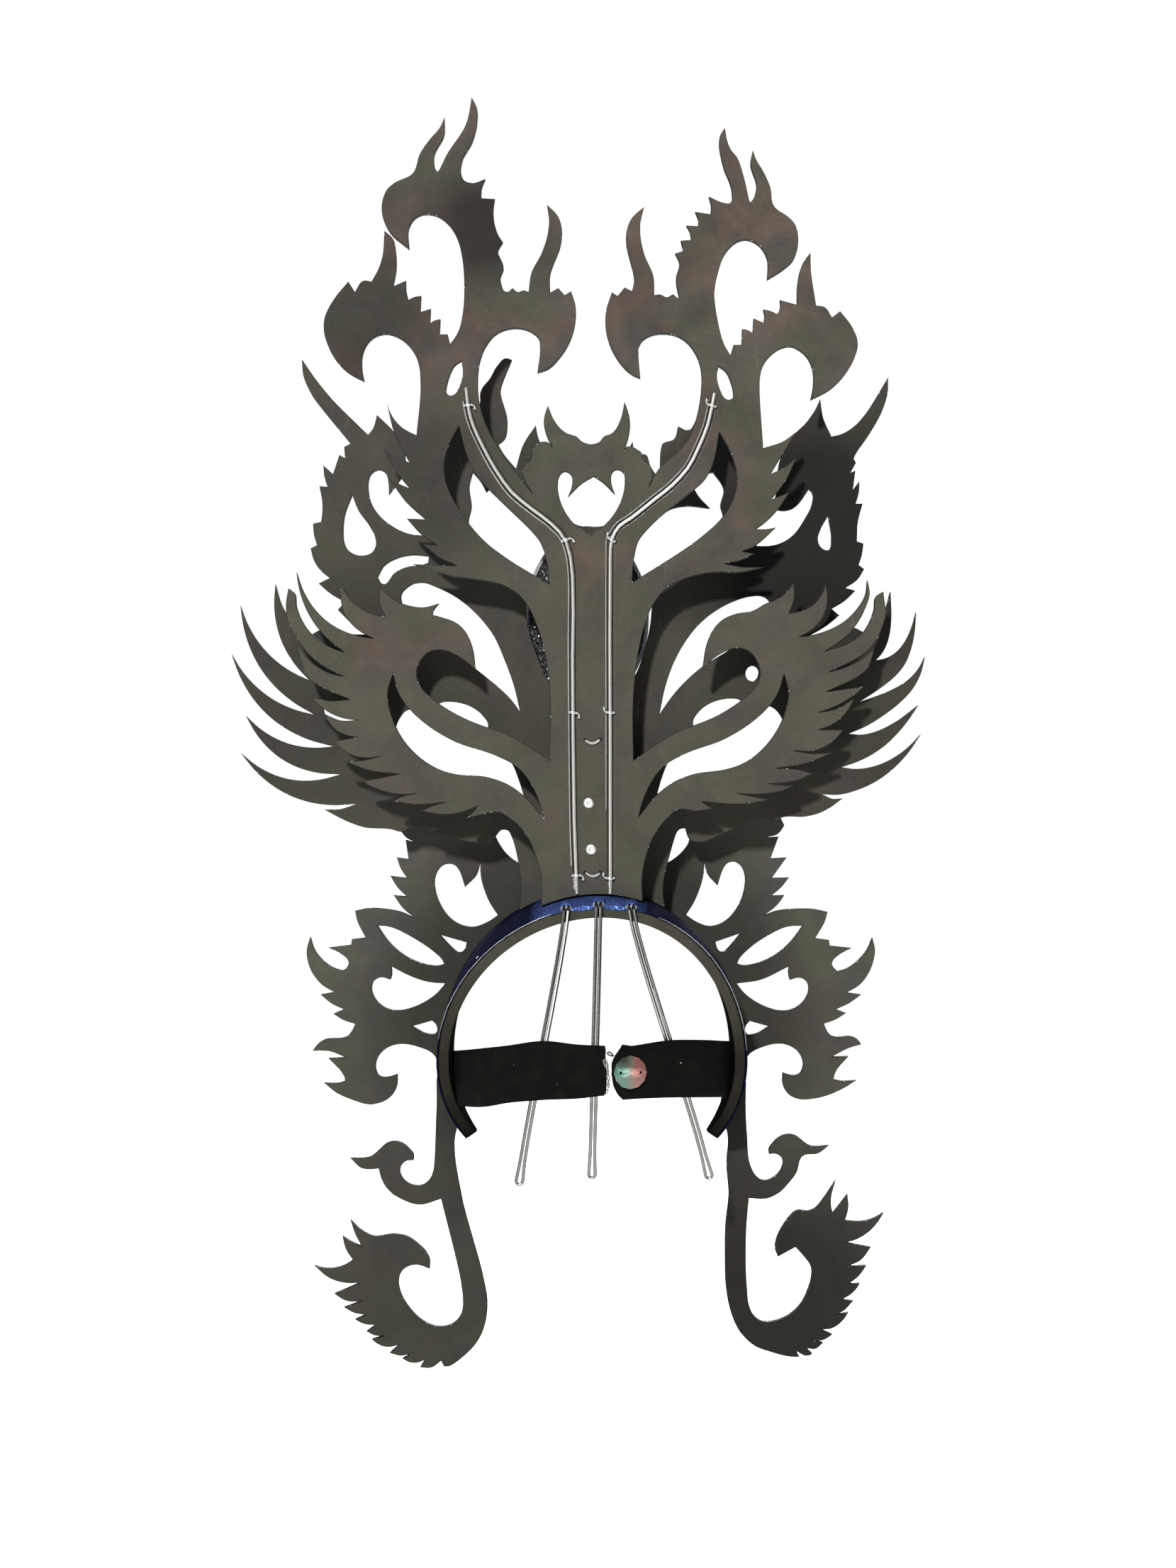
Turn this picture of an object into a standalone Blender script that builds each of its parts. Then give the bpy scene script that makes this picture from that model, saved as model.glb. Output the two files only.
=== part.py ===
"""A carnival crown worn on the head: three sawn foam panels on a padded arch, seen from behind.

The wearer looks along -Y, +Z is up, and the origin is the inner top of the arch's front edge, on
the centre plane. Metres throughout.
"""

import math

import bmesh
import bpy
import numpy as np
from mathutils import Euler, Vector

# Overall sizes
PANEL_FOAM = 0.006
BACK_PANEL_HEIGHT = 0.497
WING_PANEL_HEIGHT = 0.348
SIDE_PANEL_HEIGHT = 0.355
BACK_PANEL_FACE_Y = 0.021
WING_PANEL_FACE_Y = -0.009
SIDE_PANEL_FACE_Y = -0.035
SEAT_GAP = 0.0003
# The nearer panels' drawings start this far under the back panel's foot
WING_FOOT_DROP = 0.0011
SIDE_FOOT_DROP = 0.0021

# Padded arch
ARCH_INNER_RADIUS = 0.0882
ARCH_FOAM = 0.0067
COVER_CLOTH = 0.0009
ARCH_BACK_Y = 0.035
ARCH_FRONT_RISE = 0.0083
ARCH_BACK_LEAN = 0.0062
ARCH_END_ANGLE = math.radians(34)
ARCH_END_SWEEP = 0.052
ARCH_STEPS = 36
ARCH_DEPTH_SHARES = (0, 0.4, 0.75, 1)
# The side panel's rim follows the arch down to this sine of its angle
RIM_LOW_SINE = -0.45

# Steel rods and rivets on the back panel
ROD_RADIUS = 0.0011
RIVET_HEAD_RADIUS = 0.0034
RIVET_HEAD_HEIGHT = 0.0011
RIVET_SHANK_RADIUS = 0.0016
RIVET_HOLE_RADIUS = 0.0020
RIVET_SIDES = 16
# The dome's profile: shares of the head's radius and of its height
RIVET_DOME = ((0, 1), (0.55, 0.9), (0.9, 0.5), (1, 0))
SPACER_HALF_WIDTH = 0.014
SPACER_LOW = 0.016
SPACER_HIGH = 0.072

# Medallion
MEDALLION_HALF_WIDTH = 0.037
MEDALLION_HALF_HEIGHT = 0.056
MEDALLION_FOAM = 0.002
MEDALLION_NARROWING = 0.12
# Its middle, in the wing panel's units
MEDALLION_MIDDLE = (0.6, 35)
BACKING_SHEET = 0.001
BACKING_MARGIN = 0.0022

# Hairpin prongs
PRONG_WIRE_RADIUS = 0.0011
PRONG_PITCH = 0.0026
# The legs spread to this pitch over the last stretch above the bend
PRONG_EYE_PITCH = 0.0040
PRONG_EYE_LENGTH = 0.014
# The hook over the cover: how far back of the arch's edge, and up from the wire's seat on the cover
PRONG_HOOK = ((-0.007, 0.0026), (-0.002, 0.0016), (0.0026, -0.0024))
PRONG_BEND_STEPS = 5

# Strap and button
STRAP_WIDTH = 0.031
STRAP_CLOTH = 0.0016
STRAP_END_Y = 0.018
STRAP_BULGE = 0.050
# The strap's bow behind the head is a superellipse of these powers
STRAP_BOW = (2.2, 0.8)
BUTTON_RADIUS = 0.0102
BUTTON_HEIGHT = 0.0034
BUTTON_SIDES = 12
# The button's rings: share of its radius, share of its height, whether turned by half a side
BUTTON_RINGS = ((0.86, 0, False), (1, 0.24, False), (1, 0.47, False), (0.74, 0.74, True), (0.34, 1, True))
SEW_HOLE_RADIUS = 0.0009
SEW_HOLE_OUT = 0.0062

# Every outline table below is a drawing in units of its panel's height over these counts.
# Its columns are: out from the centre line, up from the foot. A smooth run passes through its points.
BACK_UNITS_HIGH = 99.8
WING_UNITS_HIGH = 69.0
SIDE_UNITS_HIGH = 69.2
OUTLINE_TOLERANCE = 0.00055
SPAN_STEPS = 6

# Back panel, outer outline from the foot up
BACK_TRUNK_SIDE = ((6.35, 0), (6.4, 3), (7, 5), (7.8, 7), (9.3, 9), (11.2, 10.4))
# Feather columns: tip out, tip up, belly of the edge before it, notch out, notch up, hollow of the edge after it
BACK_WING_FEATHERS = (
    (15.9, 9.7, 0.02, 14.2, 11.3, 0.05),
    (21.3, 10.7, 0.10, 18.2, 11.8, -0.04),
    (24.9, 11.9, 0.05, 21.8, 12.9, -0.06),
    (28.6, 14.4, 0.10, 24, 15.3, -0.02),
    (31.1, 17, 0.06, 26.2, 17.6, 0.06),
    (32.3, 19.4, 0.16, 29.3, 19.9, 0.02),
    (33.4, 22.8, 0.16, 29.2, 22.05, 0.10),
    (35, 24.9, 0.12, 30.2, 24.6, 0.06),
)
BROAD_FEATHER = ((30.2, 24.6), (33, 25.8), (35.3, 27.2), (36.3, 29.3), (36.9, 31.9))
BROAD_FEATHER_SLIT = ((36.9, 31.9), (35.6, 29.9), (33.6, 28.3), (30.8, 27.4))
PAIRED_FEATHER = ((30.8, 27.4), (33.1, 28.5), (35.2, 30.1), (37.1, 32.7), (38.2, 35.4), (37.9, 38.5))
BACK_LONG_FEATHERS = (
    (37.2, 38, 0, 30.9, 30.5, 0.17),
    (36.9, 40.5, 0.12, 27.2, 32.2, 0.17),
    (31.3, 39.2, 0.20, 25.8, 35, 0.16),
    (26.4, 38.6, 0.12, 22.5, 36.3, 0.10),
)
SWAN_HEAD = ((22.5, 36.3), (20.6, 36.15), (19.1, 36.6))
SWAN_HEAD_RIGHT = ((22.5, 36.3), (20.9, 35.4))
SWAN_BROW_RIGHT = ((20.9, 35.4), (18, 34.7), (16.3, 33.7), (15.2, 32), (14.7, 30), (14.5, 28.3))
SWAN_BROW = ((19.1, 36.6), (19.9, 35.2), (18, 34.7), (16.3, 33.7), (15.2, 32), (14.7, 30), (14.5, 28.3))
SWAN_NECK = ((14.5, 28.3), (15.4, 29.1), (17.2, 30.3), (19, 30.8), (20.7, 30.3), (21.9, 28), (21.2, 26),
             (18.7, 23.9), (16, 22.3), (11, 20.4), (8, 18.8), (5.3, 17))
ARM_UNDERSIDE = ((5.3, 17), (5.2, 22), (5.35, 27.2), (6.3, 31.8), (7.7, 35.8), (9.9, 38.3), (12, 39.1), (15.3, 39.6))
ARM_BARBS = (
    (22.3, 41.5, 0.02, 16.8, 41.3, 0.01),
    (21.1, 44, 0.06, 19.3, 43.9, 0),
    (23.1, 47.2, 0.06, 20.8, 47.1, 0.04),
    (25.2, 52, 0.05, 22.8, 51, 0.03),
    (26.1, 56.1, 0.05, 22.8, 54.2, 0.05),
    (25.6, 61.6, 0.06, 21.9, 57.6, 0.13),
)
OUTER_NECK = ((21.9, 57.6), (21.7, 60), (21.4, 64), (21.9, 67.3), (23.8, 69.6), (26.3, 70.2), (28.2, 68.8),
              (28.7, 66.3), (28.4, 64.3))
OUTER_HEAD = ((28.4, 64.3), (30.8, 65.7), (32.6, 68), (33.5, 71.5), (32.6, 74), (30.4, 76.8))
OUTER_CREST = ((29.6, 75.5), (28.5, 76.9), (27.5, 76.8))
# On the left the horn stops against the head above it
OUTER_HORN_BACK_LEFT = ((27.5, 76.8), (26.4, 79), (26, 81), (25.9, 83.15))
OUTER_HORN_FRONT_LEFT = ((24.75, 82), (24.4, 80), (24.45, 78), (24.8, 76.2))
OUTER_HORN_RIGHT = ((28, 73.8), (27.7, 76), (27.35, 78.2), (27.3, 80.4))
OUTER_HORN_FRONT_RIGHT = ((27.3, 80.4), (26.3, 79), (25.75, 77), (25.6, 73.9))
OUTER_NAPE = (
    (23.2, 76.9, 0.05, 22.9, 74.5, 0.05),
    (21.3, 75, 0.08, 21.4, 73, 0.05),
    (20.1, 73.4, 0.08, 20.2, 71.6, 0.05),
    (18.9, 72.1, 0.08, 19, 70.2, 0.05),
    (18, 70.2, 0, 17.7, 69, 0.05),
)
TOP_NECK = ((17.7, 69), (16.7, 70.5), (16.1, 73), (15.95, 77), (16.3, 80.3), (17.1, 82.8), (18.8, 84.7),
            (21, 85.2), (22.6, 84.1), (22.8, 80.8))
TOP_HEAD = ((22.8, 80.8), (24, 81.8), (25.6, 83.5), (26.25, 86), (25.5, 88.4), (23, 90), (22.3, 90.4))
TOP_FRONT_HORN = ((22.3, 90.4), (21.7, 92.3), (20.2, 94.6), (19, 96), (18.4, 97.3))
TOP_HORN_GAP = ((18.4, 97.3), (18.4, 95.3), (19.7, 92.3), (19.3, 90.5), (18.2, 92.5), (16.5, 95.2), (15.5, 97),
                (15, 99.8))
TOP_REAR_HORN = ((15, 99.8), (14.25, 98), (14.9, 94.3), (16.2, 91.8), (16.1, 89.6), (15, 89.1))
TOP_NAPE = (
    (13.3, 89.6, 0, 13.8, 87.2, 0.08),
    (12.1, 87.1, 0, 12.2, 84.6, 0.05),
    (11.1, 81.7, -0.08, 11.7, 80.6, 0.05),
    (11, 78.5, 0.05, 11.4, 77.2, 0.05),
    (10.9, 75.6, 0.04, 10.6, 75.5, 0),
)
TOP_NAPE_RIGHT = (
    (14.6, 87.4, 0, 14.8, 85.2, 0.08),
    (12.9, 85.5, 0, 13.3, 83.7, 0.08),
    (11.8, 83.8, 0, 12.4, 82, 0.08),
    (11.1, 81.9, 0, 11.4, 80.6, 0.08),
    (10.4, 80.3, 0, 10.9, 79.2, 0.05),
    (10.5, 77.2, 0.03, 10.9, 74.6, 0.02),
)
TOP_NAPE_RIGHT_FROM = (16.6, 86.6)
INNER_CROWN = ((10.6, 75.5), (9.9, 76), (9.3, 75.5), (8.5, 75.7), (7.9, 75.5))
INNER_HORN_BACK = ((7.9, 75.5), (7.6, 77.7), (6, 81), (5.35, 84), (5.6, 86.4))
INNER_HORN_FRONT = ((5.6, 86.4), (4.2, 84.9), (3.7, 82.5), (4.4, 79.8), (5.3, 77), (5.2, 75.4))
INNER_CREST = ((4.2, 76), (3.4, 75.1), (2.6, 75.6))
INNER_HEAD = ((2.6, 75.6), (2, 73.5), (2.3, 70.5), (3.6, 67.8), (5.6, 65.8), (6.8, 65.4))
INNER_NECK = ((6.8, 65.4), (6.6, 67.5), (6.6, 69.6), (8.5, 70.85), (11.5, 70.5), (13.5, 68.2), (14.2, 65),
              (13.9, 61), (12.3, 57), (10.2, 54), (7.4, 50.3))
PAIR_BACK = ((7.4, 50.3), (8.4, 52), (8.7, 53.3), (7.5, 54.8), (7.4, 55.8), (6.6, 56.7), (5.4, 56.7), (4.9, 56))
PAIR_HORN = ((4.9, 56), (5.8, 58), (6, 59.5), (5.5, 61.3))
PAIR_CROWN = ((5.5, 61.3), (4.4, 59), (3.2, 57.9), (2, 57.5), (1.2, 56.8), (0, 56.5))

# Back panel, holes
WING_EYE_UPPER = ((6, 9.8), (6.5, 11.6), (7.7, 14.2), (9.4, 16.2), (13, 18), (17, 19.3), (20, 21), (22.5, 23.1),
                  (24.1, 25.3), (24.8, 27.9))
WING_EYE_LOWER = ((24.8, 27.9), (25.5, 25.5), (25, 22.5), (23.5, 19.5), (21, 17), (18, 15.5), (13, 14.9),
                  (10.5, 14), (8.4, 12.5), (6, 9.8))
SLIM_HOLE = ((16.3, 66.9), (17.2, 66.2), (17.9, 64.5), (18.1, 62.8), (17.3, 62.6), (16.4, 64), (16.1, 65.5))
SLOT_BRANCH_SIDE = ((16.6, 58.8), (16.1, 56.6), (14.7, 53), (12.4, 50.4), (9.5, 47.5), (6.6, 44.5), (5.7, 42), (5.3, 39))
SLOT_ARM_SIDE = ((5.3, 39), (8.2, 40.8), (12.5, 43.6), (15.2, 46.4), (17.4, 49.8), (18.45, 53), (17.9, 56.2),
                 (16.6, 58.8))
HEART_LOBE = ((0, 45.1), (1.7, 46.1), (3.3, 48), (4.15, 50.3), (4.1, 52.4), (3.5, 53.05), (2.7, 52.8), (2.45, 51.6),
              (3, 49.9))
HEART_BEAK = ((3, 49.9), (2.2, 50.6), (1.1, 51.7), (0, 52.4))

# Where landmarks of the left half lie in the right half. Columns: out, up, out on the right, up on the right
BACK_SETTLED = (
    (6.35, 0, 6.35, 0),
    (0, 30, 0, 30),
    (15.9, 9.7, 15.3, 11),
    (21.3, 10.7, 22.2, 12.1),
    (24.9, 11.9, 25.2, 13.8),
    (28.6, 14.4, 27.6, 15.4),
    (31.1, 17, 30.1, 18),
    (32.3, 19.4, 31.4, 20.8),
    (33.4, 22.8, 32.8, 24.8),
    (35.3, 27.2, 34, 28),
    (36.9, 31.9, 35.3, 31.2),
    (37.9, 38.5, 36.4, 38.1),
    (36.9, 40.5, 34.4, 39.5),
    (31.3, 39.2, 29.2, 39),
    (26.4, 38.6, 25.2, 39.2),
    (22.5, 36.3, 21.7, 36.6),
    (27.2, 32.2, 25.9, 32.4),
    (30.9, 30.5, 29, 30.6),
    (24, 15.3, 23, 16),
    (14.2, 11.3, 13.7, 11.9),
    (14.5, 28.3, 13.8, 28.5),
    (21.9, 28, 21, 28),
    (5.3, 17, 5.2, 17),
    (5.35, 27.2, 5.4, 27.2),
    (24.8, 27.9, 24, 27.8),
    (25, 22.5, 24, 22.6),
    (15.3, 39.6, 15.2, 40.5),
    (21.1, 44, 20.3, 42.8),
    (23.1, 47.2, 23, 46.1),
    (25.2, 52, 24.7, 50.5),
    (26.1, 56.1, 25.6, 54.9),
    (25.6, 61.6, 25.5, 58),
    (21.9, 57.6, 21.4, 56),
    (5.3, 39, 5, 39.2),
    (17.4, 49.8, 17.1, 48.5),
    (16.6, 58.8, 15.9, 58),
    (12.4, 50.4, 12.5, 50.6),
    (9.5, 47.5, 9.2, 48),
    (6.6, 44.5, 6, 44.7),
    (21.4, 64, 20.95, 63.4),
    (28.4, 64.3, 27.3, 62),
    (26.3, 70.2, 25.2, 68.6),
    (33.5, 71.5, 33.2, 68.7),
    (30.4, 76.8, 31, 73.1),
    (27.5, 76.8, 28, 73.8),
    (25.6, 83.5, 25.05, 79.3),
    (24.8, 76.2, 25.6, 73.9),
    (20.1, 73.4, 20.2, 72.2),
    (17.7, 69, 17.3, 67.6),
    (15.95, 77, 15.3, 75.5),
    (21, 85.2, 19.9, 81.9),
    (22.8, 80.8, 21.9, 77),
    (26.25, 86, 25.75, 81.6),
    (22.3, 90.4, 22.7, 86.3),
    (18.4, 97.3, 20.1, 93.2),
    (19.3, 90.5, 19.8, 86.7),
    (15, 99.8, 16.6, 96),
    (15, 89.1, 16.6, 86.6),
    (16.2, 91.8, 17.4, 88.3),
    (14.9, 94.3, 16.5, 90.9),
    (16.5, 95.2, 18, 92.5),
    (10.6, 75.5, 10.9, 74.6),
    (7.9, 75.5, 7.8, 75.1),
    (5.6, 86.4, 6.5, 86.1),
    (5.2, 75.4, 5, 75.6),
    (2, 73.5, 1.75, 73),
    (6.8, 65.4, 6.05, 64.7),
    (8.5, 70.85, 8, 70.2),
    (14.2, 65, 13.7, 65),
    (12.3, 57, 12, 57),
    (7.4, 50.3, 7.1, 51.1),
    (8.7, 53.3, 7.3, 53.7),
    (6.6, 56.7, 5.4, 55.9),
    (5.5, 61.3, 4.1, 61.8),
    (0, 56.5, 0, 56.5),
    (4.1, 52.4, 4, 52.8),
    (3, 49.9, 2.9, 50.2),
)

# Wing panel, outer outline from the foot up
WING_FOOT_SIDE = ((9.1, 0), (8.85, 1.5), (9.3, 4), (9.8, 6.5), (10.3, 8.1), (11, 8.4), (11.6, 8), (12.4, 7.2))
WING_UNDERSIDE = ((12.4, 7.2), (14, 6.8), (16, 7.3), (18.5, 7.8), (20, 8.2), (22.2, 8.8), (23.8, 8.1), (25, 8.4),
                  (27, 8.5), (29, 8.8), (31, 9.6), (33.5, 10.9))
WING_LONG_FEATHERS = (
    (33.5, 10.9, 0, 29.5, 11.6, 0.07),
    (43.9, 17.9, 0.15, 31.5, 15.3, 0.15),
    (43.3, 22.6, 0.16, 32.4, 18.8, 0.13),
    (45.1, 30.3, 0.15, 34.8, 22.8, 0.12),
    (44, 36.4, 0.14, 35.4, 27.1, 0.12),
    (39.6, 39.1, 0.13, 35.5, 32.5, 0.10),
    (33.4, 33.6, 0.05, 28, 32.8, 0.05),
)
# Nape columns as for feathers
SIDE_NAPE = (
    (31.8, 35.9, 0.05, 30.9, 36.9, 0.05),
    (34.2, 39.2, 0.05, 32.8, 39.9, 0.05),
    (35.2, 43.6, 0.12, 34.4, 44, 0.05),
    (34.9, 46.7, 0.05, 33.9, 46.9, 0.05),
    (34.1, 51.4, -0.06, 33.1, 51.3, 0.05),
    (33.6, 54, 0.05, 32.4, 52.9, 0.05),
    (31.6, 55.3, 0.02, 30.9, 54.9, 0.05),
    (31, 56.3, 0, 30.2, 56.7, 0.05),
)
SIDE_LONG_HORN = ((30.2, 56.7), (32.5, 59.5), (35, 62.7), (36.1, 65.2), (36.3, 67.3))
SIDE_HORN_FRONT = ((36.3, 67.3), (34.5, 64.7), (32, 61.7), (29.6, 59.3), (28, 57.8))
SIDE_CROWN = ((28, 57.8), (27.4, 58.6), (26.9, 60.3))
SIDE_FACE = ((26.9, 60.3), (24.8, 58.2), (23.4, 55.4), (23.6, 53), (25.4, 50.3))
SIDE_LOOP = ((25.4, 50.3), (25.5, 52), (26, 53.2), (26.9, 53.4), (27.8, 52.6), (27.9, 50.4), (27.2, 48.5),
             (25.3, 46.6), (22.8, 45.4), (20.6, 45.2))
CURL_BACK = ((20.6, 45.2), (19.4, 47.5), (18.9, 51), (18.9, 55), (17.6, 58.6), (15.6, 60.6), (14, 61.8))
LEAF_OUTER = ((14, 61.8), (13.9, 63.3), (12.8, 64.8), (11.8, 66.5), (10.8, 67.4), (10, 67.2))
LEAF_INNER = ((10, 67.2), (10.6, 65.5), (11.4, 63.4), (11, 61.5), (10.55, 59.4), (10.9, 57.3), (11.7, 56.6))
UPPER_Y_INNER = ((11.7, 56.6), (11, 55.4), (9.5, 53.6))
SECOND_PAIR_BACK = ((9.5, 53.6), (8.9, 55.8), (8.1, 57.5), (7, 59))
SECOND_PAIR_CROWN = ((7, 59), (6.6, 57.2), (5.6, 55.8), (3, 55.4), (0, 55))
# The right half's own runs, which differ in kind from the left's
SIDE_CROWN_RIGHT = ((30, 57.6), (29.3, 59), (28.7, 61), (28.6, 62.3))
SIDE_FACE_RIGHT = ((28.6, 62.3), (28.1, 61.2), (26.8, 59.3), (24.6, 57), (23.4, 54), (23.2, 51), (22.6, 48.6))
SIDE_LOOP_RIGHT = ((22.6, 48.6), (24.2, 48.3), (25.5, 48.8), (26.4, 50), (27.2, 51), (27.6, 50.6), (27.6, 49.3),
                   (26.4, 46.9), (24.5, 44.7), (22.2, 43.9), (20, 44.2))
CURL_BACK_RIGHT = ((20, 44.2), (18.6, 47.5), (18.2, 52), (17.4, 56.5), (15.4, 59.4), (13.7, 61.4))
CROWN_BUMP_RIGHT = ((13.7, 61.4), (13.3, 60.4), (12.9, 59.8), (12.2, 58.4), (10.8, 58.9), (10.3, 57.3), (8.8, 56.6),
                    (8.7, 54.6), (8.5, 52.2))
SECOND_PAIR_RIGHT = ((8.5, 52.2), (7.3, 54), (6.7, 55.4), (5.6, 55.1), (5.1, 57))
SECOND_PAIR_CROWN_RIGHT = ((5.1, 57), (4.4, 55.8), (3, 55.4), (0, 55))

# Wing panel, holes
OPENING_SIDE = ((0, 24.6), (3.6, 25.2), (5.4, 27), (7.3, 31.5), (8.2, 35), (8.3, 37.4), (9, 39.6), (12.6, 42.4),
                (14.6, 44.6), (15.4, 46.9), (15.05, 48.7), (15.3, 51.5), (14.9, 53.1))
OPENING_BEAK = ((14.9, 53.1), (13.9, 51.9), (13.2, 50.6))
OPENING_BEAK_RIGHT = ((15.2, 53.1), (13.9, 52.8), (12.8, 51.3), (14.8, 48.6))
OPENING_UPPER_RIGHT = ((14.8, 48.6), (11, 48.8), (9, 48), (6.4, 45.7), (3.4, 43.8), (0, 43.2))
OPENING_UPPER = ((13.2, 50.6), (12.4, 51.2), (9.4, 48.6), (6.4, 45.7), (3.4, 43.8), (0, 43.2))
SECOND_HEART = ((0, 46.3), (2, 46.6), (4.2, 48.6), (5, 51), (4.6, 53.2), (3, 53.9), (0, 53.9))
WING_LOW_HOLE = ((8.5, 12.5), (9.15, 14.6), (10.4, 17.2), (13, 19.2), (17, 20.4), (20.4, 22.3), (22.8, 23.5),
                 (24.5, 21.4), (24.2, 18.6), (21.6, 16), (18, 14.5), (13, 13.9), (10.4, 13.2))
SWAN_SLIVER = ((13, 21.6), (13.8, 22.8), (15, 23.7), (16.5, 24.25), (18, 24.4), (19.4, 24), (19.4, 23.2),
               (17, 21.8), (14.6, 20.9), (13.1, 20.8))
LONG_HOLE_OUTER = ((9, 23.2), (9.5, 25.5), (10.3, 28), (11.3, 30.5), (12.5, 33), (14.3, 35.2), (17, 37.5), (19, 38.5),
                   (21, 39.3), (22.7, 39), (23.8, 37.9))
LONG_HOLE_INNER = ((23.8, 37.9), (23.4, 36), (21, 34), (17.6, 31), (14.5, 28.5), (12, 26.5), (10.3, 24.9), (9, 23.2))
CRESCENT_TOP = ((26.8, 40), (26, 41.4), (24.5, 42.3), (22.5, 42.75), (20.4, 42.6))
CRESCENT_BOTTOM = ((20.4, 42.6), (20.5, 41.8), (23, 41.3), (24.6, 40.6), (26, 39.1), (26.8, 40))
TEARDROP = ((30, 50.3), (29.2, 48.3), (27.6, 46), (27, 44.3), (27.5, 43.1), (28.6, 42.7), (29.8, 42.9), (30.8, 43.8),
            (31.1, 45.6), (30.9, 47.9), (30, 50.3))
TEARDROP_RIGHT = ((29.6, 47.7), (28.9, 46.4), (28.3, 44.9), (28.8, 43.6), (29.7, 43.4), (30, 44.6), (29.6, 47.7))
EYELET_RIGHT = ((20.1, 28.9), (19.3, 28.3), (19.4, 27.3), (20.2, 26.9), (20.8, 27.6), (20.8, 28.5), (20.1, 28.9))
WING_GAP_HOLE = ((33.6, 23.4), (31.4, 23), (29.6, 22.3), (30.2, 21.6), (32.2, 21.8), (33.3, 22.5))

WING_SETTLED = (
    (9.1, 0, 9.1, 0),
    (0, 24.6, 0, 24.6),
    (0, 43.2, 0, 43.2),
    (11, 8.4, 11.6, 8.6),
    (12.4, 7.2, 12.4, 7),
    (25, 8.4, 23.8, 9.9),
    (33.5, 10.9, 31.4, 12.3),
    (29.5, 11.6, 28.9, 12.8),
    (43.9, 17.9, 41.2, 20.3),
    (31.5, 15.3, 31.3, 16.2),
    (43.3, 22.6, 40.9, 24),
    (32.4, 18.8, 32.2, 20.4),
    (45.1, 30.3, 41.7, 30),
    (34.8, 22.8, 33.6, 24.4),
    (44, 36.4, 40.6, 35.6),
    (35.4, 27.1, 35.6, 29.6),
    (39.6, 39.1, 37.4, 38.2),
    (31.8, 35.9, 31, 35.2),
    (34.2, 39.2, 33, 38.3),
    (35.2, 43.6, 34.1, 41),
    (34.9, 46.7, 34, 44.2),
    (34.1, 51.4, 33.9, 49.2),
    (33.6, 54, 33.5, 52),
    (30.2, 56.7, 32.8, 54.8),
    (36.3, 67.3, 37.1, 65),
    (32.5, 59.5, 34.5, 57.5),
    (28, 57.8, 30, 57.6),
    (15.3, 51.5, 16.5, 51),
    (14.9, 53.1, 15.2, 53.1),
    (15.4, 46.9, 16.4, 47.4),
    (12.6, 42.4, 12.4, 42.2),
    (7.3, 31.5, 6.7, 31.3),
    (8.2, 35, 7.4, 35),
    (9, 23.2, 8.5, 22.9),
    (12.5, 33, 12.3, 32.6),
    (17, 37.5, 16.8, 36.5),
    (21, 39.3, 20.3, 37.6),
    (23.8, 37.9, 22.4, 36.6),
    (14.5, 28.5, 13.7, 28.7),
    (13, 21.6, 12.7, 22),
    (18, 24.4, 17.6, 24.8),
    (8.5, 12.5, 8.2, 12.9),
    (22.8, 23.5, 21.9, 24),
    (13, 13.9, 12.6, 14.4),
)

# Side panel, outer outline from the hidden top down, then the tendril
SIDE_TOP = ((0, 4.2), (9, 4.2), (11.4, 6.4), (13, 9.6), (17, 11), (21, 11.2), (23, 10.4))
BIRD_BACK = (
    (24, 8.5, 0, 22.1, 6.8, 0.10),
    (23.2, 7.1, 0, 22.85, 4.7, 0.02),
    (24.3, 4.9, 0, 23.05, 2.35, 0.06),
    (25.1, 2.6, 0, 23.1, 0.05, 0.06),
    (24.7, 0.2, 0, 22.1, -2.65, 0.06),
)
SCROLL_BROW = ((22.1, -2.65), (23.4, -2), (25.8, -1.5), (28.2, -1.45), (29.5, -1.75))
SCROLL_FACE = ((29.5, -1.75), (29.3, -2.8), (28.7, -4), (28.2, -5.1))
SCROLL_LIP = ((29.9, -5.3), (30, -6), (32.8, -6.35))
SCROLL_JAW = ((32.8, -6.35), (31, -7.3), (30.3, -8.2), (31, -9.2), (33, -8.3), (34.4, -6.9), (35.1, -5))
SCROLL_TONGUE = ((35.1, -5), (35.55, -6.8), (35, -9.2), (33.6, -11), (32.1, -11.9))
SCROLL_BEARD = (
    (33.8, -12.2, 0, 30.9, -14.05, 0.06),
    (32.2, -14.6, 0, 29.5, -15.85, 0.06),
)
DUCK_BROW = ((29.5, -15.85), (29.9, -16.7), (30.7, -17.5), (33, -17.7), (34.1, -18.3), (34.8, -19.2))
DUCK_MOUTH = ((34.8, -19.2), (33, -19.2), (31.4, -19.7), (30.6, -20.1), (32.8, -20.15))
DUCK_CHEEK = ((32.8, -20.15), (31.8, -21.2), (31, -22.2), (30.8, -23), (33.4, -23.2))
DUCK_BREAST = ((33.4, -23.2), (32, -24.4), (30, -25.1), (28, -25.9), (26.4, -25.7), (25, -24.9), (24.3, -23.7),
               (24.2, -22.1))
DUCK_HOLLOW = ((24.2, -22.1), (25.4, -22.45), (26.5, -22.3), (26.95, -21), (26.2, -19.4), (24.5, -18.45),
               (22.6, -18.45), (21, -19), (19.7, -19.7))
PANEL_CHEEK = ((19.7, -19.7), (19.4, -23), (19.4, -27), (19.7, -33))
WATCHER_INNER = ((19.7, -33), (19.9, -34.6), (20.8, -35.8), (22, -36), (23.4, -35.3), (23.9, -34), (23.2, -33),
                 (22.2, -32.85))
WATCHER_HEAD = ((22.2, -32.85), (22.2, -32.1), (23, -31.2), (24, -30.55), (25.2, -30.55), (26.4, -31.4), (27.6, -32.4),
                (30.1, -32.6))
WATCHER_TAIL = ((30.1, -32.6), (28.8, -33.8), (27.8, -34), (26.6, -33.9))
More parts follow.
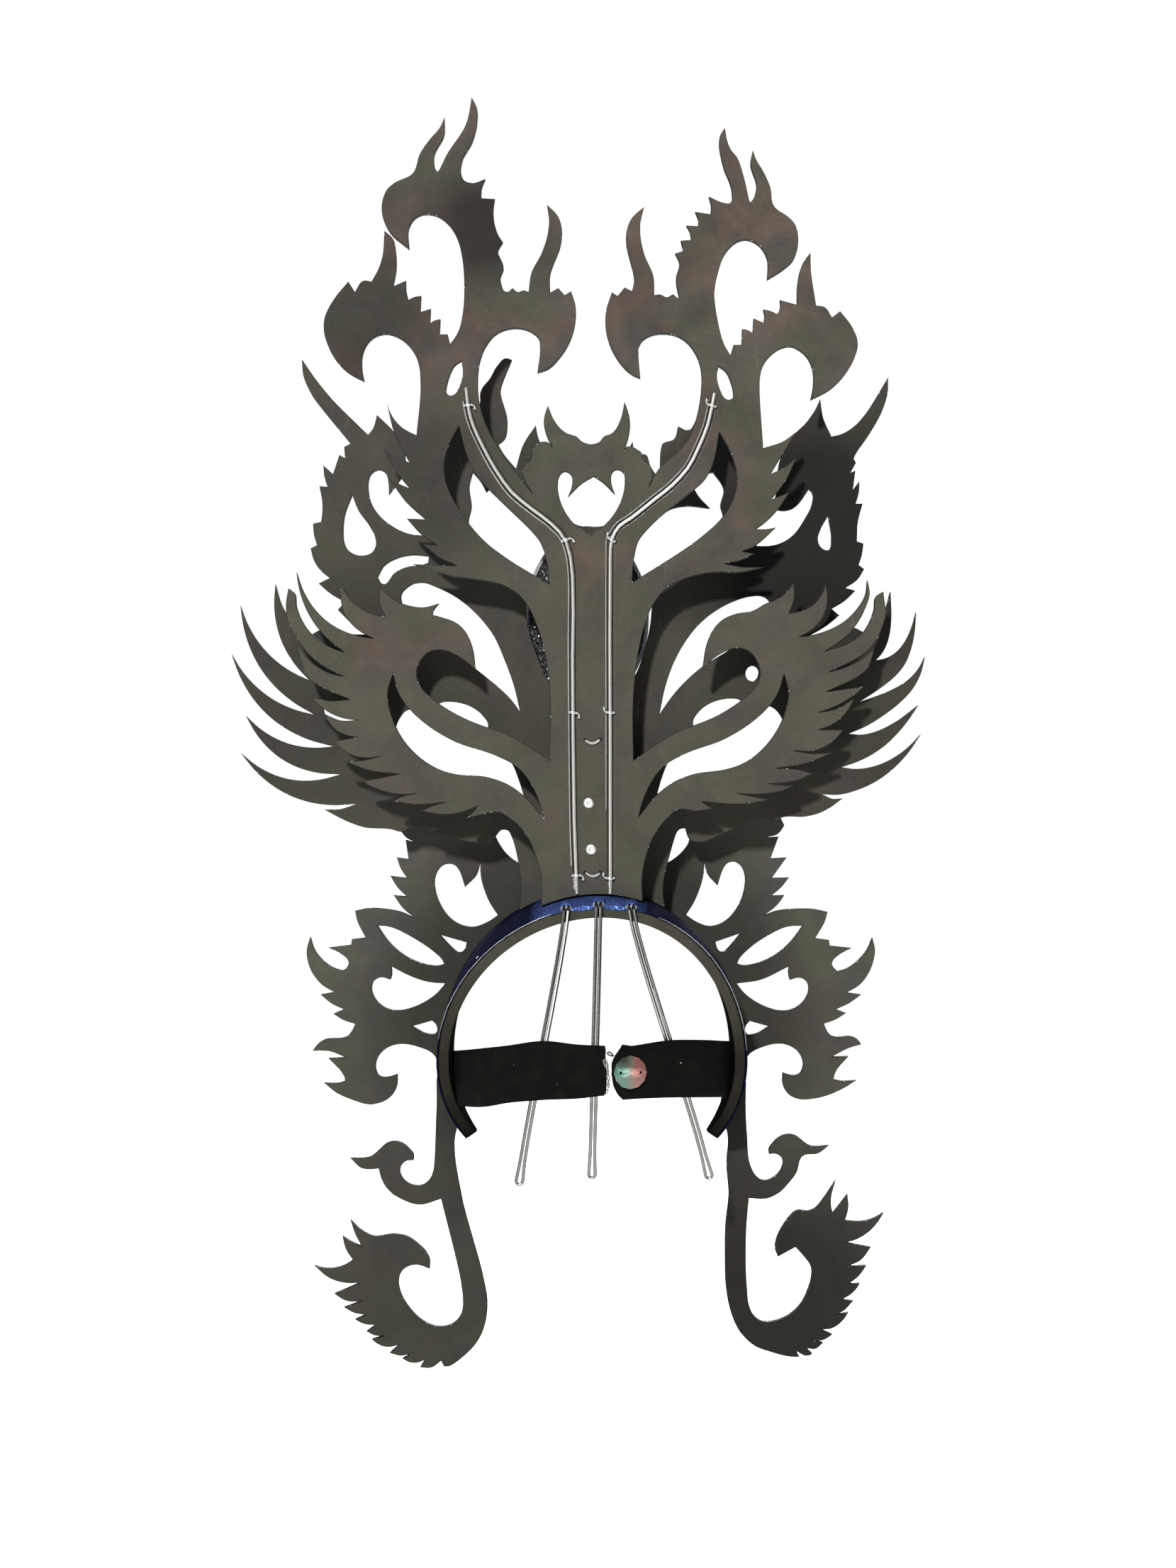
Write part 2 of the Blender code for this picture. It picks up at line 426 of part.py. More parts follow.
WATCHER_NECK = ((26.6, -33.9), (26, -35.7), (24.8, -37.1), (23, -38), (21.6, -38.4), (20, -38), (18.8, -37.7))
TENDRIL_OUTER = ((18.8, -37.7), (17.7, -42), (16.8, -46), (16.15, -49.2), (16.2, -51.7), (17, -53), (18.8, -53.65),
                 (21, -52.9), (23, -50.9), (24, -48.7), (23.8, -46.9), (22.3, -45.9), (21.2, -46.05), (20.2, -46.4))
TENDRIL_HEAD = ((20.2, -46.4), (20.25, -45), (21.4, -43.5), (23.4, -42.2), (25.5, -42.1), (27.2, -42.3), (28.4, -41.8),
                (30.1, -40.3))
# Tuft columns as for feathers
TENDRIL_TUFT = (
    (30.1, -40.3, 0, 28.7, -43.6, 0.04),
    (31.1, -42.3, 0.04, 29.8, -45.3, 0.08),
    (34.6, -46, 0.14, 28.8, -48.1, 0.14),
    (32.1, -49.5, -0.02, 28.5, -50.35, 0.14),
    (30.9, -51.2, 0, 28.2, -52.15, 0.08),
    (29.5, -52.7, 0, 27, -53.4, 0.10),
    (28.1, -54.2, 0.05, 25.7, -54.7, 0.12),
    (27.4, -55.2, 0, 24, -55.8, 0.18),
    (25.2, -56.9, 0.06, 22.3, -56.9, 0.12),
    (23.6, -57.6, 0, 20.9, -57.8, 0.16),
    (21.4, -58.7, 0.02, 18.8, -57.9, 0.16),
)
TENDRIL_KEEL = ((18.8, -57.9), (18.3, -58.65), (16.8, -57.9), (14.8, -56.2), (13.5, -54), (13, -51.2), (13.2, -49),
                (14.3, -44.5), (15.2, -40.8), (16.2, -37.4), (16.8, -33), (17.1, -30.5))

# Side panel, holes
BIRD_HOLE = ((15.8, 1.2), (16.25, 2.4), (16.8, 3.7), (17.8, 4.1), (18.8, 3.7), (19.6, 2), (19.2, 0), (18.3, -1.9),
             (16.7, -3.3), (14.8, -3.75), (12.9, -3.1), (11.7, -2.3))
BIRD_HOLE_NECK = ((11.7, -2.3), (12.8, -0.6), (13.5, 1.2), (13.9, 3.1), (13.9, 4.2))
BIRD_HOLE_BEAK = ((13.9, 4.2), (14.2, 3), (15.1, 1.8), (15.8, 1.2))
WEDGE_HOLE = ((18.9, -4.75), (17.2, -5.15), (15.6, -5.7))
WEDGE_HOLE_LOW = ((15.6, -5.7), (15.9, -6.6), (16.5, -6.95), (17.4, -6.1), (18.9, -4.75))
SLENDER_HOLE = ((26.7, -3.6), (25, -3.8), (22, -5.3), (20, -6.6), (18.4, -8.4), (20.2, -8.5), (22.8, -7.6),
                (24.6, -6.3), (26, -4.7), (26.7, -3.6))
SADDLE_HOLE_TOP = ((18.3, -10.8), (20.5, -10.6), (22.7, -9.85), (24.95, -8.7))
SADDLE_HOLE_LOW = ((24.95, -8.7), (25.1, -10.35), (26.4, -10.05), (27.4, -11), (27, -12.7), (25.6, -13.9),
                   (23.8, -14.15), (21.6, -13.5), (19.5, -12.2), (18.3, -10.8))
SMALL_HOLE = ((22.4, -16.15), (21.2, -15.9), (19.9, -15.45), (19.35, -16.1), (19.4, -17), (20.3, -17.1), (22.4, -16.15))

SIDE_SETTLED = (
    (0, 4.2, 0, 4.2),
    (11.4, 6.4, 11.9, 6.4),
    (22.1, 6.8, 21.8, 7.4),
    (23.2, 7.1, 23.3, 7.5),
    (22.85, 4.7, 22.3, 4.8),
    (24.3, 4.9, 24.3, 4.9),
    (25.1, 2.6, 24.6, 2.4),
    (24.7, 0.2, 24, 0.2),
    (22.1, -2.65, 21.5, -2.3),
    (29.5, -1.75, 29.4, -1.9),
    (32.8, -6.35, 32.4, -6.4),
    (35.1, -5, 35, -5.1),
    (33.8, -12.2, 33.6, -12.2),
    (34.8, -19.2, 33.6, -18.4),
    (32.8, -20.15, 32, -19.9),
    (33.4, -23.2, 33, -22.9),
    (28, -25.9, 27, -25.3),
    (24.2, -22.1, 23.8, -21.9),
    (19.7, -19.7, 19.6, -19.7),
    (19.4, -27, 19.3, -27),
    (19.7, -33, 19.7, -32.6),
    (17.1, -30.5, 17, -30.5),
    (16.8, -33, 16.8, -33),
    (22.2, -32.85, 22.1, -32.1),
    (25.2, -30.55, 25, -29.6),
    (30.1, -32.6, 29.6, -31),
    (23, -38, 23.4, -36.9),
    (18.8, -37.7, 19.6, -37.6),
    (17.7, -42, 19.3, -41.2),
    (16.15, -49.2, 19.4, -49.3),
    (18.8, -53.65, 22, -53),
    (23, -50.9, 26.2, -50.6),
    (23.8, -46.9, 27.2, -46),
    (22.3, -45.9, 25.4, -43.7),
    (20.2, -46.4, 23.2, -44.9),
    (21.4, -43.5, 23.3, -42.2),
    (25.5, -42.1, 25.6, -39.1),
    (28.4, -41.8, 28, -38.6),
    (30.1, -40.3, 30.4, -35.4),
    (28.7, -43.6, 30.1, -39.4),
    (31.1, -42.3, 31.9, -37.1),
    (29.8, -45.3, 31.6, -40.4),
    (34.6, -46, 36.4, -39.4),
    (28.8, -48.1, 31.6, -43.1),
    (32.1, -49.5, 34.8, -43.7),
    (28.1, -54.2, 32.6, -50.4),
    (25.2, -56.9, 30, -54.6),
    (21.4, -58.7, 27.5, -57),
    (18.3, -58.65, 25.9, -57.4),
    (14.8, -56.2, 20.3, -56),
    (13, -51.2, 17.3, -51.5),
    (14.3, -44.5, 16.6, -45),
    (15.2, -40.8, 16.7, -40.5),
)

# Rod routes, in the back panel's units: out, up
ROD_ROUTE_LEFT = ((1.85, 0.35), (2.2, 10), (2.4, 30), (2.4, 40), (3.2, 44.3), (5, 46.5), (7.5, 48.4), (10, 50.5),
                  (12, 53.3), (13.5, 56), (14.8, 58.8), (15.4, 61), (15.7, 63.5))
ROD_ROUTE_RIGHT = ((-2.3, 0.35), (-2.3, 20), (-2.3, 42), (-2.5, 44.6), (-3.4, 46.2), (-5, 47.3), (-8, 49.7),
                   (-10, 51.3), (-12, 53.5), (-13.3, 56), (-14.5, 59), (-15.3, 62.8))
RIVETS = (("upper", 0.4, 11.7), ("lower", 0.1, 5.9))

# Prong columns: name, top out, bottom out, length, in shares of the arch's inner radius
PRONGS = (("left", 0.18, 0.503, 1.89), ("middle", -0.046, 0.0, 1.87), ("right", -0.277, -0.821, 1.89))
# Prong line columns: share of the length, share of the way out, back of the arch in shares of the strap's bulge
PRONG_LINE = ((0.1, 0.06, 0.1), (0.3, 0.26, 0.32), (0.5, 0.48, 0.46), (0.68, 0.68, 0.50), (0.85, 0.86, 0.45),
              (1.0, 1.0, 0.37))

# Strap columns: out in shares of the arch's inner radius, then middle height and width there in shares of the
# strap's width
STRAP_LEFT = ((1, -3.50, 1.11), (0.8, -3.42, 1.16), (0.6, -3.31, 1.13), (0.35, -3.21, 1.16), (0.1, -3.22, 1.06),
              (-0.077, -3.20, 0.98))
STRAP_RIGHT = ((-0.134, -3.28, 1.03), (-0.3, -3.24, 1.05), (-0.55, -3.20, 1.13), (-0.8, -3.24, 1.14),
               (-1, -3.31, 1.12))
BUTTON_OUT = -0.262
BUTTON_UP = -3.235


def clear_scene():
    for thing in list(bpy.data.objects):
        bpy.data.objects.remove(thing, do_unlink=True)


def new_collection(name, hidden=False):
    collection = bpy.data.collections.new(name)
    bpy.context.scene.collection.children.link(collection)
    collection.hide_render = hidden
    return collection


def new_material(name, colour, roughness, metallic=0.0):
    material = bpy.data.materials.new(name)
    material.use_nodes = True
    shader = material.node_tree.nodes["Principled BSDF"]
    shader.inputs["Base Color"].default_value = (*colour, 1)
    shader.inputs["Roughness"].default_value = roughness
    shader.inputs["Metallic"].default_value = metallic
    return material


def place(name, data, material, collection):
    thing = bpy.data.objects.new(name, data)
    data.materials.append(material)
    collection.objects.link(thing)
    return thing


# Drawing: smooth runs, feather edges, slits and the settled right half


def smooth(points, steps=SPAN_STEPS):
    """A centripetal curve through the points, ends included."""
    points = [Vector(point) for point in points]
    if len(points) == 2:
        return points
    padded = [2 * points[0] - points[1], *points, 2 * points[-1] - points[-2]]
    drawn = []
    for before, start, end, after in zip(padded, padded[1:], padded[2:], padded[3:]):
        knots = [0.0]
        for one, other in ((before, start), (start, end), (end, after)):
            knots.append(knots[-1] + max((other - one).length, 1e-9) ** 0.5)
        t0, t1, t2, t3 = knots
        for step in range(steps):
            t = t1 + (t2 - t1) * step / steps
            a1 = before.lerp(start, (t - t0) / (t1 - t0))
            a2 = start.lerp(end, (t - t1) / (t2 - t1))
            a3 = end.lerp(after, (t - t2) / (t3 - t2))
            b1 = a1.lerp(a2, (t - t0) / (t2 - t0))
            b2 = a2.lerp(a3, (t - t1) / (t3 - t1))
            drawn.append(b1.lerp(b2, (t - t1) / (t2 - t1)))
    drawn.append(points[-1])
    return drawn


def bowed(start, end, bow, steps=SPAN_STEPS):
    """An edge from start to end that bulges to its right by a share of its length."""
    start, end = Vector(start), Vector(end)
    along = end - start
    across = Vector((along.y, -along.x)) * bow
    drawn = []
    for step in range(steps + 1):
        share = step / steps
        drawn.append(start + along * share + across * 4 * share * (1 - share))
    return drawn


def feathers(start, rows):
    """A row of feathers as one line from start: out along the belly to each tip, back to each notch."""
    drawn = [Vector(start)]
    for tip_out, tip_up, belly, notch_out, notch_up, hollow in rows:
        tip, notch = (tip_out, tip_up), (notch_out, notch_up)
        drawn += bowed(drawn[-1], tip, belly)[1:]
        drawn += bowed(tip, notch, -hollow)[1:]
    return drawn


def line(*runs):
    """Runs joined end to end, with their shared corners kept once."""
    drawn = []
    for run in runs:
        for point in run:
            point = Vector(point)
            if not drawn or (point - drawn[-1]).length > 1e-6:
                drawn.append(point)
    return drawn


def clamped(value):
    return min(max(value, 0.0), 1.0)


def carrier(landmarks):
    """A smooth carry of left points onto the right half, exact at each landmark. Points already there stay."""
    known = [Vector(row[:2]) for row in landmarks]
    count = len(known)
    system = np.zeros((count + 3, count + 3))
    for row, point in enumerate(known):
        system[row, :count] = [(point - other).length for other in known]
        system[row, count:] = system[count:, row] = (1, point.x, point.y)
    shifts = np.zeros((count + 3, 2))
    shifts[:count] = [(row[2] - row[0], row[3] - row[1]) for row in landmarks]
    weights = np.linalg.solve(system, shifts)

    def carried(point):
        if point.x < 0:
            return point
        out, up = np.array([*((point - other).length for other in known), 1, point.x, point.y]) @ weights
        return Vector((-(point.x + out), point.y + up))

    return carried


def mirrored(points):
    return [Vector((-point.x, point.y)) for point in points]


def simplified(points, tolerance):
    """The points that a line needs to stay within the tolerance."""
    if len(points) < 3:
        return points
    start, end = points[0], points[-1]
    along = end - start
    length = max(along.length, 1e-12)
    worst, farthest = 0.0, 0
    for index, point in enumerate(points[1:-1], 1):
        offset = point - start
        if length < 1e-9:
            distance = offset.length
        else:
            share = clamped(offset.dot(along) / length**2)
            distance = (offset - along * share).length
        if distance > worst:
            worst, farthest = distance, index
    if worst < tolerance:
        return [start, end]
    return simplified(points[: farthest + 1], tolerance)[:-1] + simplified(points[farthest:], tolerance)


def closed_simplified(points, tolerance):
    """The same for a closed outline, split at its two farthest corners."""
    first = max(range(len(points)), key=lambda index: (points[index] - points[0]).length)
    turned = points[first:] + points[:first]
    second = max(range(len(turned)), key=lambda index: (turned[index] - turned[0]).length)
    one = simplified(turned[: second + 1], tolerance)
    other = simplified(turned[second:] + turned[:1], tolerance)
    return one[:-1] + other[:-1]


def flat_piece(name, outlines, thickness, face_y, material, collection):
    """A flat piece sawn from sheet, its outlines in metres in the plane across Y, its back face at face_y."""
    data = bpy.data.curves.new(name + " outline", "CURVE")
    data.dimensions = "2D"
    data.fill_mode = "BOTH"
    data.extrude = thickness / 2
    for outline in outlines:
        outline = closed_simplified(outline, OUTLINE_TOLERANCE)
        spline = data.splines.new("POLY")
        spline.points.add(len(outline) - 1)
        for control, point in zip(spline.points, outline):
            control.co = (point.x, point.y, 0, 1)
        spline.use_cyclic_u = True
    drawn = bpy.data.objects.new(name + " outline", data)
    mesh = bmesh.new()
    mesh.from_mesh(bpy.data.meshes.new_from_object(drawn))
    bpy.data.objects.remove(drawn)
    bmesh.ops.remove_doubles(mesh, verts=mesh.verts, dist=1e-6)
    bmesh.ops.recalc_face_normals(mesh, faces=mesh.faces)
    thing = finished(name, mesh, material, collection)
    thing.rotation_euler = (math.radians(90), 0, 0)
    thing.location.y = face_y - thickness / 2
    return thing


def finished(name, mesh, material, collection):
    data = bpy.data.meshes.new(name)
    mesh.to_mesh(data)
    mesh.free()
    return place(name, data, material, collection)


def circle(centre, radius, sides=16):
    return [centre + Vector((math.cos(a), math.sin(a))) * radius for a in turn_angles(sides)]


def turn_angles(sides):
    return [2 * math.pi * side / sides for side in range(sides)]


# The arch, which everything stands on


def arch_share(y):
    """0 at the arch's front edge and 1 at its back edge."""
    return (y - arch_front_y()) / (ARCH_BACK_Y - arch_front_y())


def arch_front_y():
    return SIDE_PANEL_FACE_Y + SEAT_GAP


def arch_centre_z():
    return -ARCH_INNER_RADIUS - ARCH_FRONT_RISE


def arch_point(angle, y, offset):
    """A point of the arch, offset outwards from its inner face, as (x, z)."""
    share = arch_share(y)
    high = max(math.sin(angle), 0.0) ** 2
    rise = ARCH_FRONT_RISE * high * (1 - max(share, 0.0) ** 4)
    radius = ARCH_INNER_RADIUS + offset + rise
    lean = -ARCH_BACK_LEAN * high * share
    return Vector((radius * math.cos(angle) + lean, arch_centre_z() + radius * math.sin(angle)))


def arch_top(x, y, offset):
    """The height of the arch at x, offset outwards from its inner face."""
    low, high = 0.0, math.pi
    for _ in range(40):
        middle = (low + high) / 2
        if arch_point(middle, y, offset).x > x:
            low = middle
        else:
            high = middle
    return arch_point(low, y, offset).y


def arch_side(side, y, z):
    """How far out the arch's inner face is at height z, on the side of +1 or -1."""
    low, high = -math.pi / 2, math.pi / 2
    for _ in range(40):
        middle = (low + high) / 2
        if arch_point(math.pi / 2 - side * (math.pi / 2 - middle), y, 0).y < z:
            low = middle
        else:
            high = middle
    return abs(arch_point(math.pi / 2 - side * (math.pi / 2 - low), y, 0).x)


def cover_offset():
    return ARCH_FOAM + SEAT_GAP + COVER_CLOTH


def arch_angles():
    start, end = -ARCH_END_ANGLE, math.pi + ARCH_END_ANGLE
    return [start + (end - start) * step / ARCH_STEPS for step in range(ARCH_STEPS + 1)]


def arch_back_y(angle):
    """The arch's back edge, which sweeps forward at both low ends."""
    low = clamped(-math.sin(angle) / math.sin(ARCH_END_ANGLE))
    return ARCH_BACK_Y - ARCH_END_SWEEP * low**2


def round_shading(thing):
    thing.data.shade_smooth()
    thing.data.set_sharp_from_angle(angle=math.radians(40))


def loft(name, sections, material, collection):
    """A solid through closed sections of equally many points, capped at both ends."""
    mesh = bmesh.new()
    rings = [[mesh.verts.new(point) for point in section] for section in sections]
    for ring, following in zip(rings, rings[1:]):
        for index in range(len(ring)):
            neighbour = (index + 1) % len(ring)
            mesh.faces.new((ring[index], ring[neighbour], following[neighbour], following[index]))
    mesh.faces.new(rings[0][::-1])
    mesh.faces.new(rings[-1])
    bmesh.ops.recalc_face_normals(mesh, faces=mesh.faces)
    thing = finished(name, mesh, material, collection)
    round_shading(thing)
    return thing


def arch_shell(name, inner, outer, material, collection):
    """A wall that follows the arch between two offsets from its inner face."""
    sections = []
    for angle in arch_angles():
        front, back = arch_front_y(), arch_back_y(angle)
        depths = [front + (back - front) * share for share in ARCH_DEPTH_SHARES]
        outside = [(y, arch_point(angle, y, outer)) for y in depths]
        inside = [(y, arch_point(angle, y, inner)) for y in reversed(depths)]
        sections.append([(point.x, y, point.y) for y, point in outside + inside])
    return loft(name, sections, material, collection)


# Panels


class Drawing:
    """Places a drawing's units in the plane of a panel."""

    def __init__(self, height, units_high, base_z):
        self.unit = height / units_high
        self.base_z = base_z

    def place(self, points):
        return [Vector((point.x * self.unit, self.base_z + point.y * self.unit)) for point in points]


def back_drawing():
    foot = arch_top(0, BACK_PANEL_FACE_Y, cover_offset()) + SEAT_GAP
    return Drawing(BACK_PANEL_HEIGHT, BACK_UNITS_HIGH, foot)


def wing_drawing():
    return Drawing(WING_PANEL_HEIGHT, WING_UNITS_HIGH, back_drawing().base_z - WING_FOOT_DROP)


def side_drawing():
    return Drawing(SIDE_PANEL_HEIGHT, SIDE_UNITS_HIGH, back_drawing().base_z - SIDE_FOOT_DROP)


def seated(outline, face_y, thickness, half_width):
    """The outline with its foot following the arch's cover, a gap above it."""
    foot = []
    steps = 8
    seats = [(x, max(arch_top(x, y, cover_offset()) for y in (face_y, face_y - thickness / 2, face_y - thickness)))
             for x in [half_width[0] + (half_width[1] - half_width[0]) * step / steps for step in range(steps + 1)]]
    for x, z in seats:
        foot.append(Vector((x, z + SEAT_GAP)))
    return foot + outline


def on_both_sides(drawing, holes, carried):
    """Each hole of the left half and its copy in the right half."""
    made = []
    for hole in holes:
        made.append(drawing.place(hole))
        made.append(drawing.place([carried(point) for point in hole]))
    return made


def across_centre(drawing, left, right):
    """A closed outline from two halves that start and end on the centre line."""
    return drawing.place(left + right[1:-1][::-1])


def standing(drawing, left, right, face_y):
    """A panel's outer outline from its two drawn halves, with its foot on the arch."""
    around = drawing.place(left + right[:-1][::-1])
    return seated(around[1:-1], face_y, PANEL_FOAM, (around[-1].x, around[0].x))


def back_half(right):
    horn = line(smooth(OUTER_HORN_BACK_LEFT), smooth(OUTER_HORN_FRONT_LEFT))
    if right:
        horn = mirrored(line(smooth(OUTER_HORN_RIGHT), smooth(OUTER_HORN_FRONT_RIGHT)))
    nape = mirrored(feathers(TOP_NAPE_RIGHT_FROM, TOP_NAPE_RIGHT)) if right else feathers(TOP_REAR_HORN[-1], TOP_NAPE)
    return line(
        smooth(BACK_TRUNK_SIDE),
        feathers(BACK_TRUNK_SIDE[-1], BACK_WING_FEATHERS),
        smooth(BROAD_FEATHER),
        smooth(BROAD_FEATHER_SLIT),
        smooth(PAIRED_FEATHER),
        feathers(PAIRED_FEATHER[-1], BACK_LONG_FEATHERS),
        smooth(SWAN_HEAD_RIGHT if right else SWAN_HEAD),
        smooth(SWAN_BROW_RIGHT if right else SWAN_BROW),
        smooth(SWAN_NECK),
        smooth(ARM_UNDERSIDE),
        feathers(ARM_UNDERSIDE[-1], ARM_BARBS),
        smooth(OUTER_NECK),
        smooth(OUTER_HEAD),
        OUTER_CREST,
        horn,
        feathers(OUTER_HORN_FRONT_LEFT[-1], OUTER_NAPE),
        smooth(TOP_NECK),
        smooth(TOP_HEAD),
        smooth(TOP_FRONT_HORN),
        smooth(TOP_HORN_GAP),
        smooth(TOP_REAR_HORN),
        nape,
        smooth(INNER_CROWN),
        smooth(INNER_HORN_BACK),
        smooth(INNER_HORN_FRONT),
        INNER_CREST,
        smooth(INNER_HEAD),
        smooth(INNER_NECK),
        smooth(PAIR_BACK),
        smooth(PAIR_HORN),
        smooth(PAIR_CROWN),
    )


def build_back_panel(material, collection):
    drawing = back_drawing()
    carried = carrier(BACK_SETTLED)
    holes = [
        line(smooth(WING_EYE_UPPER), smooth(WING_EYE_LOWER)),
        smooth(SLIM_HOLE + SLIM_HOLE[:1]),
        line(smooth(SLOT_BRANCH_SIDE), smooth(SLOT_ARM_SIDE)),
    ]
    right = [carried(point) for point in back_half(True)]
    outlines = [standing(drawing, back_half(False), right, BACK_PANEL_FACE_Y)]
    outlines += on_both_sides(drawing, holes, carried)
    heart = line(smooth(HEART_LOBE), smooth(HEART_BEAK))
    outlines.append(across_centre(drawing, heart, [carried(point) for point in heart]))
    for _, out, up in RIVETS:
        centre = drawing.place([Vector((out, up))])[0]
        outlines.append(circle(centre, RIVET_HOLE_RADIUS))
    return flat_piece("back_panel", outlines, PANEL_FOAM, BACK_PANEL_FACE_Y, material, collection)


def wing_half():
    return line(
        smooth(WING_FOOT_SIDE),
        smooth(WING_UNDERSIDE),
        feathers(WING_UNDERSIDE[-1], WING_LONG_FEATHERS),
        feathers(WING_LONG_FEATHERS[-1][3:5], SIDE_NAPE),
        smooth(SIDE_LONG_HORN),
        smooth(SIDE_HORN_FRONT),
    )


def wing_crest():
    return line(
        smooth(SIDE_CROWN),
        smooth(SIDE_FACE),
        smooth(SIDE_LOOP),
        smooth(CURL_BACK),
        smooth(LEAF_OUTER),
        smooth(LEAF_INNER),
        smooth(UPPER_Y_INNER),
        smooth(SECOND_PAIR_BACK),
        smooth(SECOND_PAIR_CROWN),
    )


def wing_crest_right():
    return line(
        smooth(SIDE_CROWN_RIGHT),
        smooth(SIDE_FACE_RIGHT),
        smooth(SIDE_LOOP_RIGHT),
        smooth(CURL_BACK_RIGHT),
        smooth(CROWN_BUMP_RIGHT),
        smooth(SECOND_PAIR_RIGHT),
        smooth(SECOND_PAIR_CROWN_RIGHT),
    )


def build_wing_panel(material, collection):
    drawing = wing_drawing()
    carried = carrier(WING_SETTLED)
    left = line(wing_half(), wing_crest())
    right = line([carried(point) for point in wing_half()], mirrored(wing_crest_right()))
    outlines = [standing(drawing, left, right, WING_PANEL_FACE_Y)]
    holes = [
        smooth(WING_LOW_HOLE + WING_LOW_HOLE[:1]),
        smooth(SWAN_SLIVER + SWAN_SLIVER[:1]),
        line(smooth(LONG_HOLE_OUTER), smooth(LONG_HOLE_INNER)),
    ]
    outlines += on_both_sides(drawing, holes, carried)
    left_only = [
        line(smooth(CRESCENT_TOP), smooth(CRESCENT_BOTTOM)),
        smooth(TEARDROP),
        smooth(WING_GAP_HOLE + WING_GAP_HOLE[:1]),
    ]
    right_only = [smooth(TEARDROP_RIGHT), smooth(EYELET_RIGHT)]
    outlines += [drawing.place(hole) for hole in left_only]
    outlines += [drawing.place(mirrored(hole)) for hole in right_only]
    opening = line(smooth(OPENING_SIDE), smooth(OPENING_BEAK), smooth(OPENING_UPPER))
    opening_right = line([carried(point) for point in smooth(OPENING_SIDE)], mirrored(smooth(OPENING_BEAK_RIGHT)),
                         mirrored(smooth(OPENING_UPPER_RIGHT)))
    outlines.append(across_centre(drawing, opening, opening_right))
    outlines.append(across_centre(drawing, smooth(SECOND_HEART), mirrored(smooth(SECOND_HEART))))
    return flat_piece("wing_panel", outlines, PANEL_FOAM, WING_PANEL_FACE_Y, material, collection)


def side_half():
    return line(
        smooth(SIDE_TOP),
        feathers(SIDE_TOP[-1], BIRD_BACK),
        smooth(SCROLL_BROW),
        smooth(SCROLL_FACE),
        SCROLL_LIP,
        smooth(SCROLL_JAW),
        smooth(SCROLL_TONGUE),
        feathers(SCROLL_TONGUE[-1], SCROLL_BEARD),
        smooth(DUCK_BROW),
        smooth(DUCK_MOUTH),
        smooth(DUCK_CHEEK),
        smooth(DUCK_BREAST),
        smooth(DUCK_HOLLOW),
        smooth(PANEL_CHEEK),
        smooth(WATCHER_INNER),
        smooth(WATCHER_HEAD),
        smooth(WATCHER_TAIL),
        smooth(WATCHER_NECK),
        smooth(TENDRIL_OUTER),
        smooth(TENDRIL_HEAD),
        feathers(TENDRIL_HEAD[-1], TENDRIL_TUFT),
        smooth(TENDRIL_KEEL),
    )


def build_side_panel(material, collection):
    drawing = side_drawing()
    carried = carrier(SIDE_SETTLED)
    left = side_half()
    right = [carried(point) for point in left]
    rim = [arch_point(angle, SIDE_PANEL_FACE_Y, 0) for angle in arch_angles() if math.sin(angle) > RIM_LOW_SINE]
    outlines = [drawing.place(left) + rim + drawing.place(right[:0:-1])]
    holes = [
        line(smooth(BIRD_HOLE), smooth(BIRD_HOLE_NECK), smooth(BIRD_HOLE_BEAK)),
        line(smooth(WEDGE_HOLE), smooth(WEDGE_HOLE_LOW)),
        smooth(SLENDER_HOLE),
        line(smooth(SADDLE_HOLE_TOP), smooth(SADDLE_HOLE_LOW)),
        smooth(SMALL_HOLE),
    ]
    outlines += on_both_sides(drawing, holes, carried)
    return flat_piece("side_panel", outlines, PANEL_FOAM, SIDE_PANEL_FACE_Y, material, collection)


# Fittings


def tube(name, points, radius, material, collection):
    """A round wire along the points, with flat ends."""
    data = bpy.data.curves.new(name, "CURVE")
    data.dimensions = "3D"
    data.bevel_depth = radius
    data.bevel_resolution = 2
    data.use_fill_caps = True
    spline = data.splines.new("POLY")
    spline.points.add(len(points) - 1)
    for control, point in zip(spline.points, points):
        control.co = (*point, 1)
    spline.use_smooth = True
    return place(name, data, material, collection)


def rod_route(route):
    """A rod's middle line on the back panel's back face."""
    drawing = back_drawing()
    y = BACK_PANEL_FACE_Y + SEAT_GAP + ROD_RADIUS
    flat = drawing.place(smooth(route, 2))
    return [Vector((point.x, y, point.y)) for point in flat]


def build_rods(steel, collection):
    for side, route in (("left", ROD_ROUTE_LEFT), ("right", ROD_ROUTE_RIGHT)):
        tube(f"spine_rod_{side}", rod_route(route), ROD_RADIUS, steel, collection)


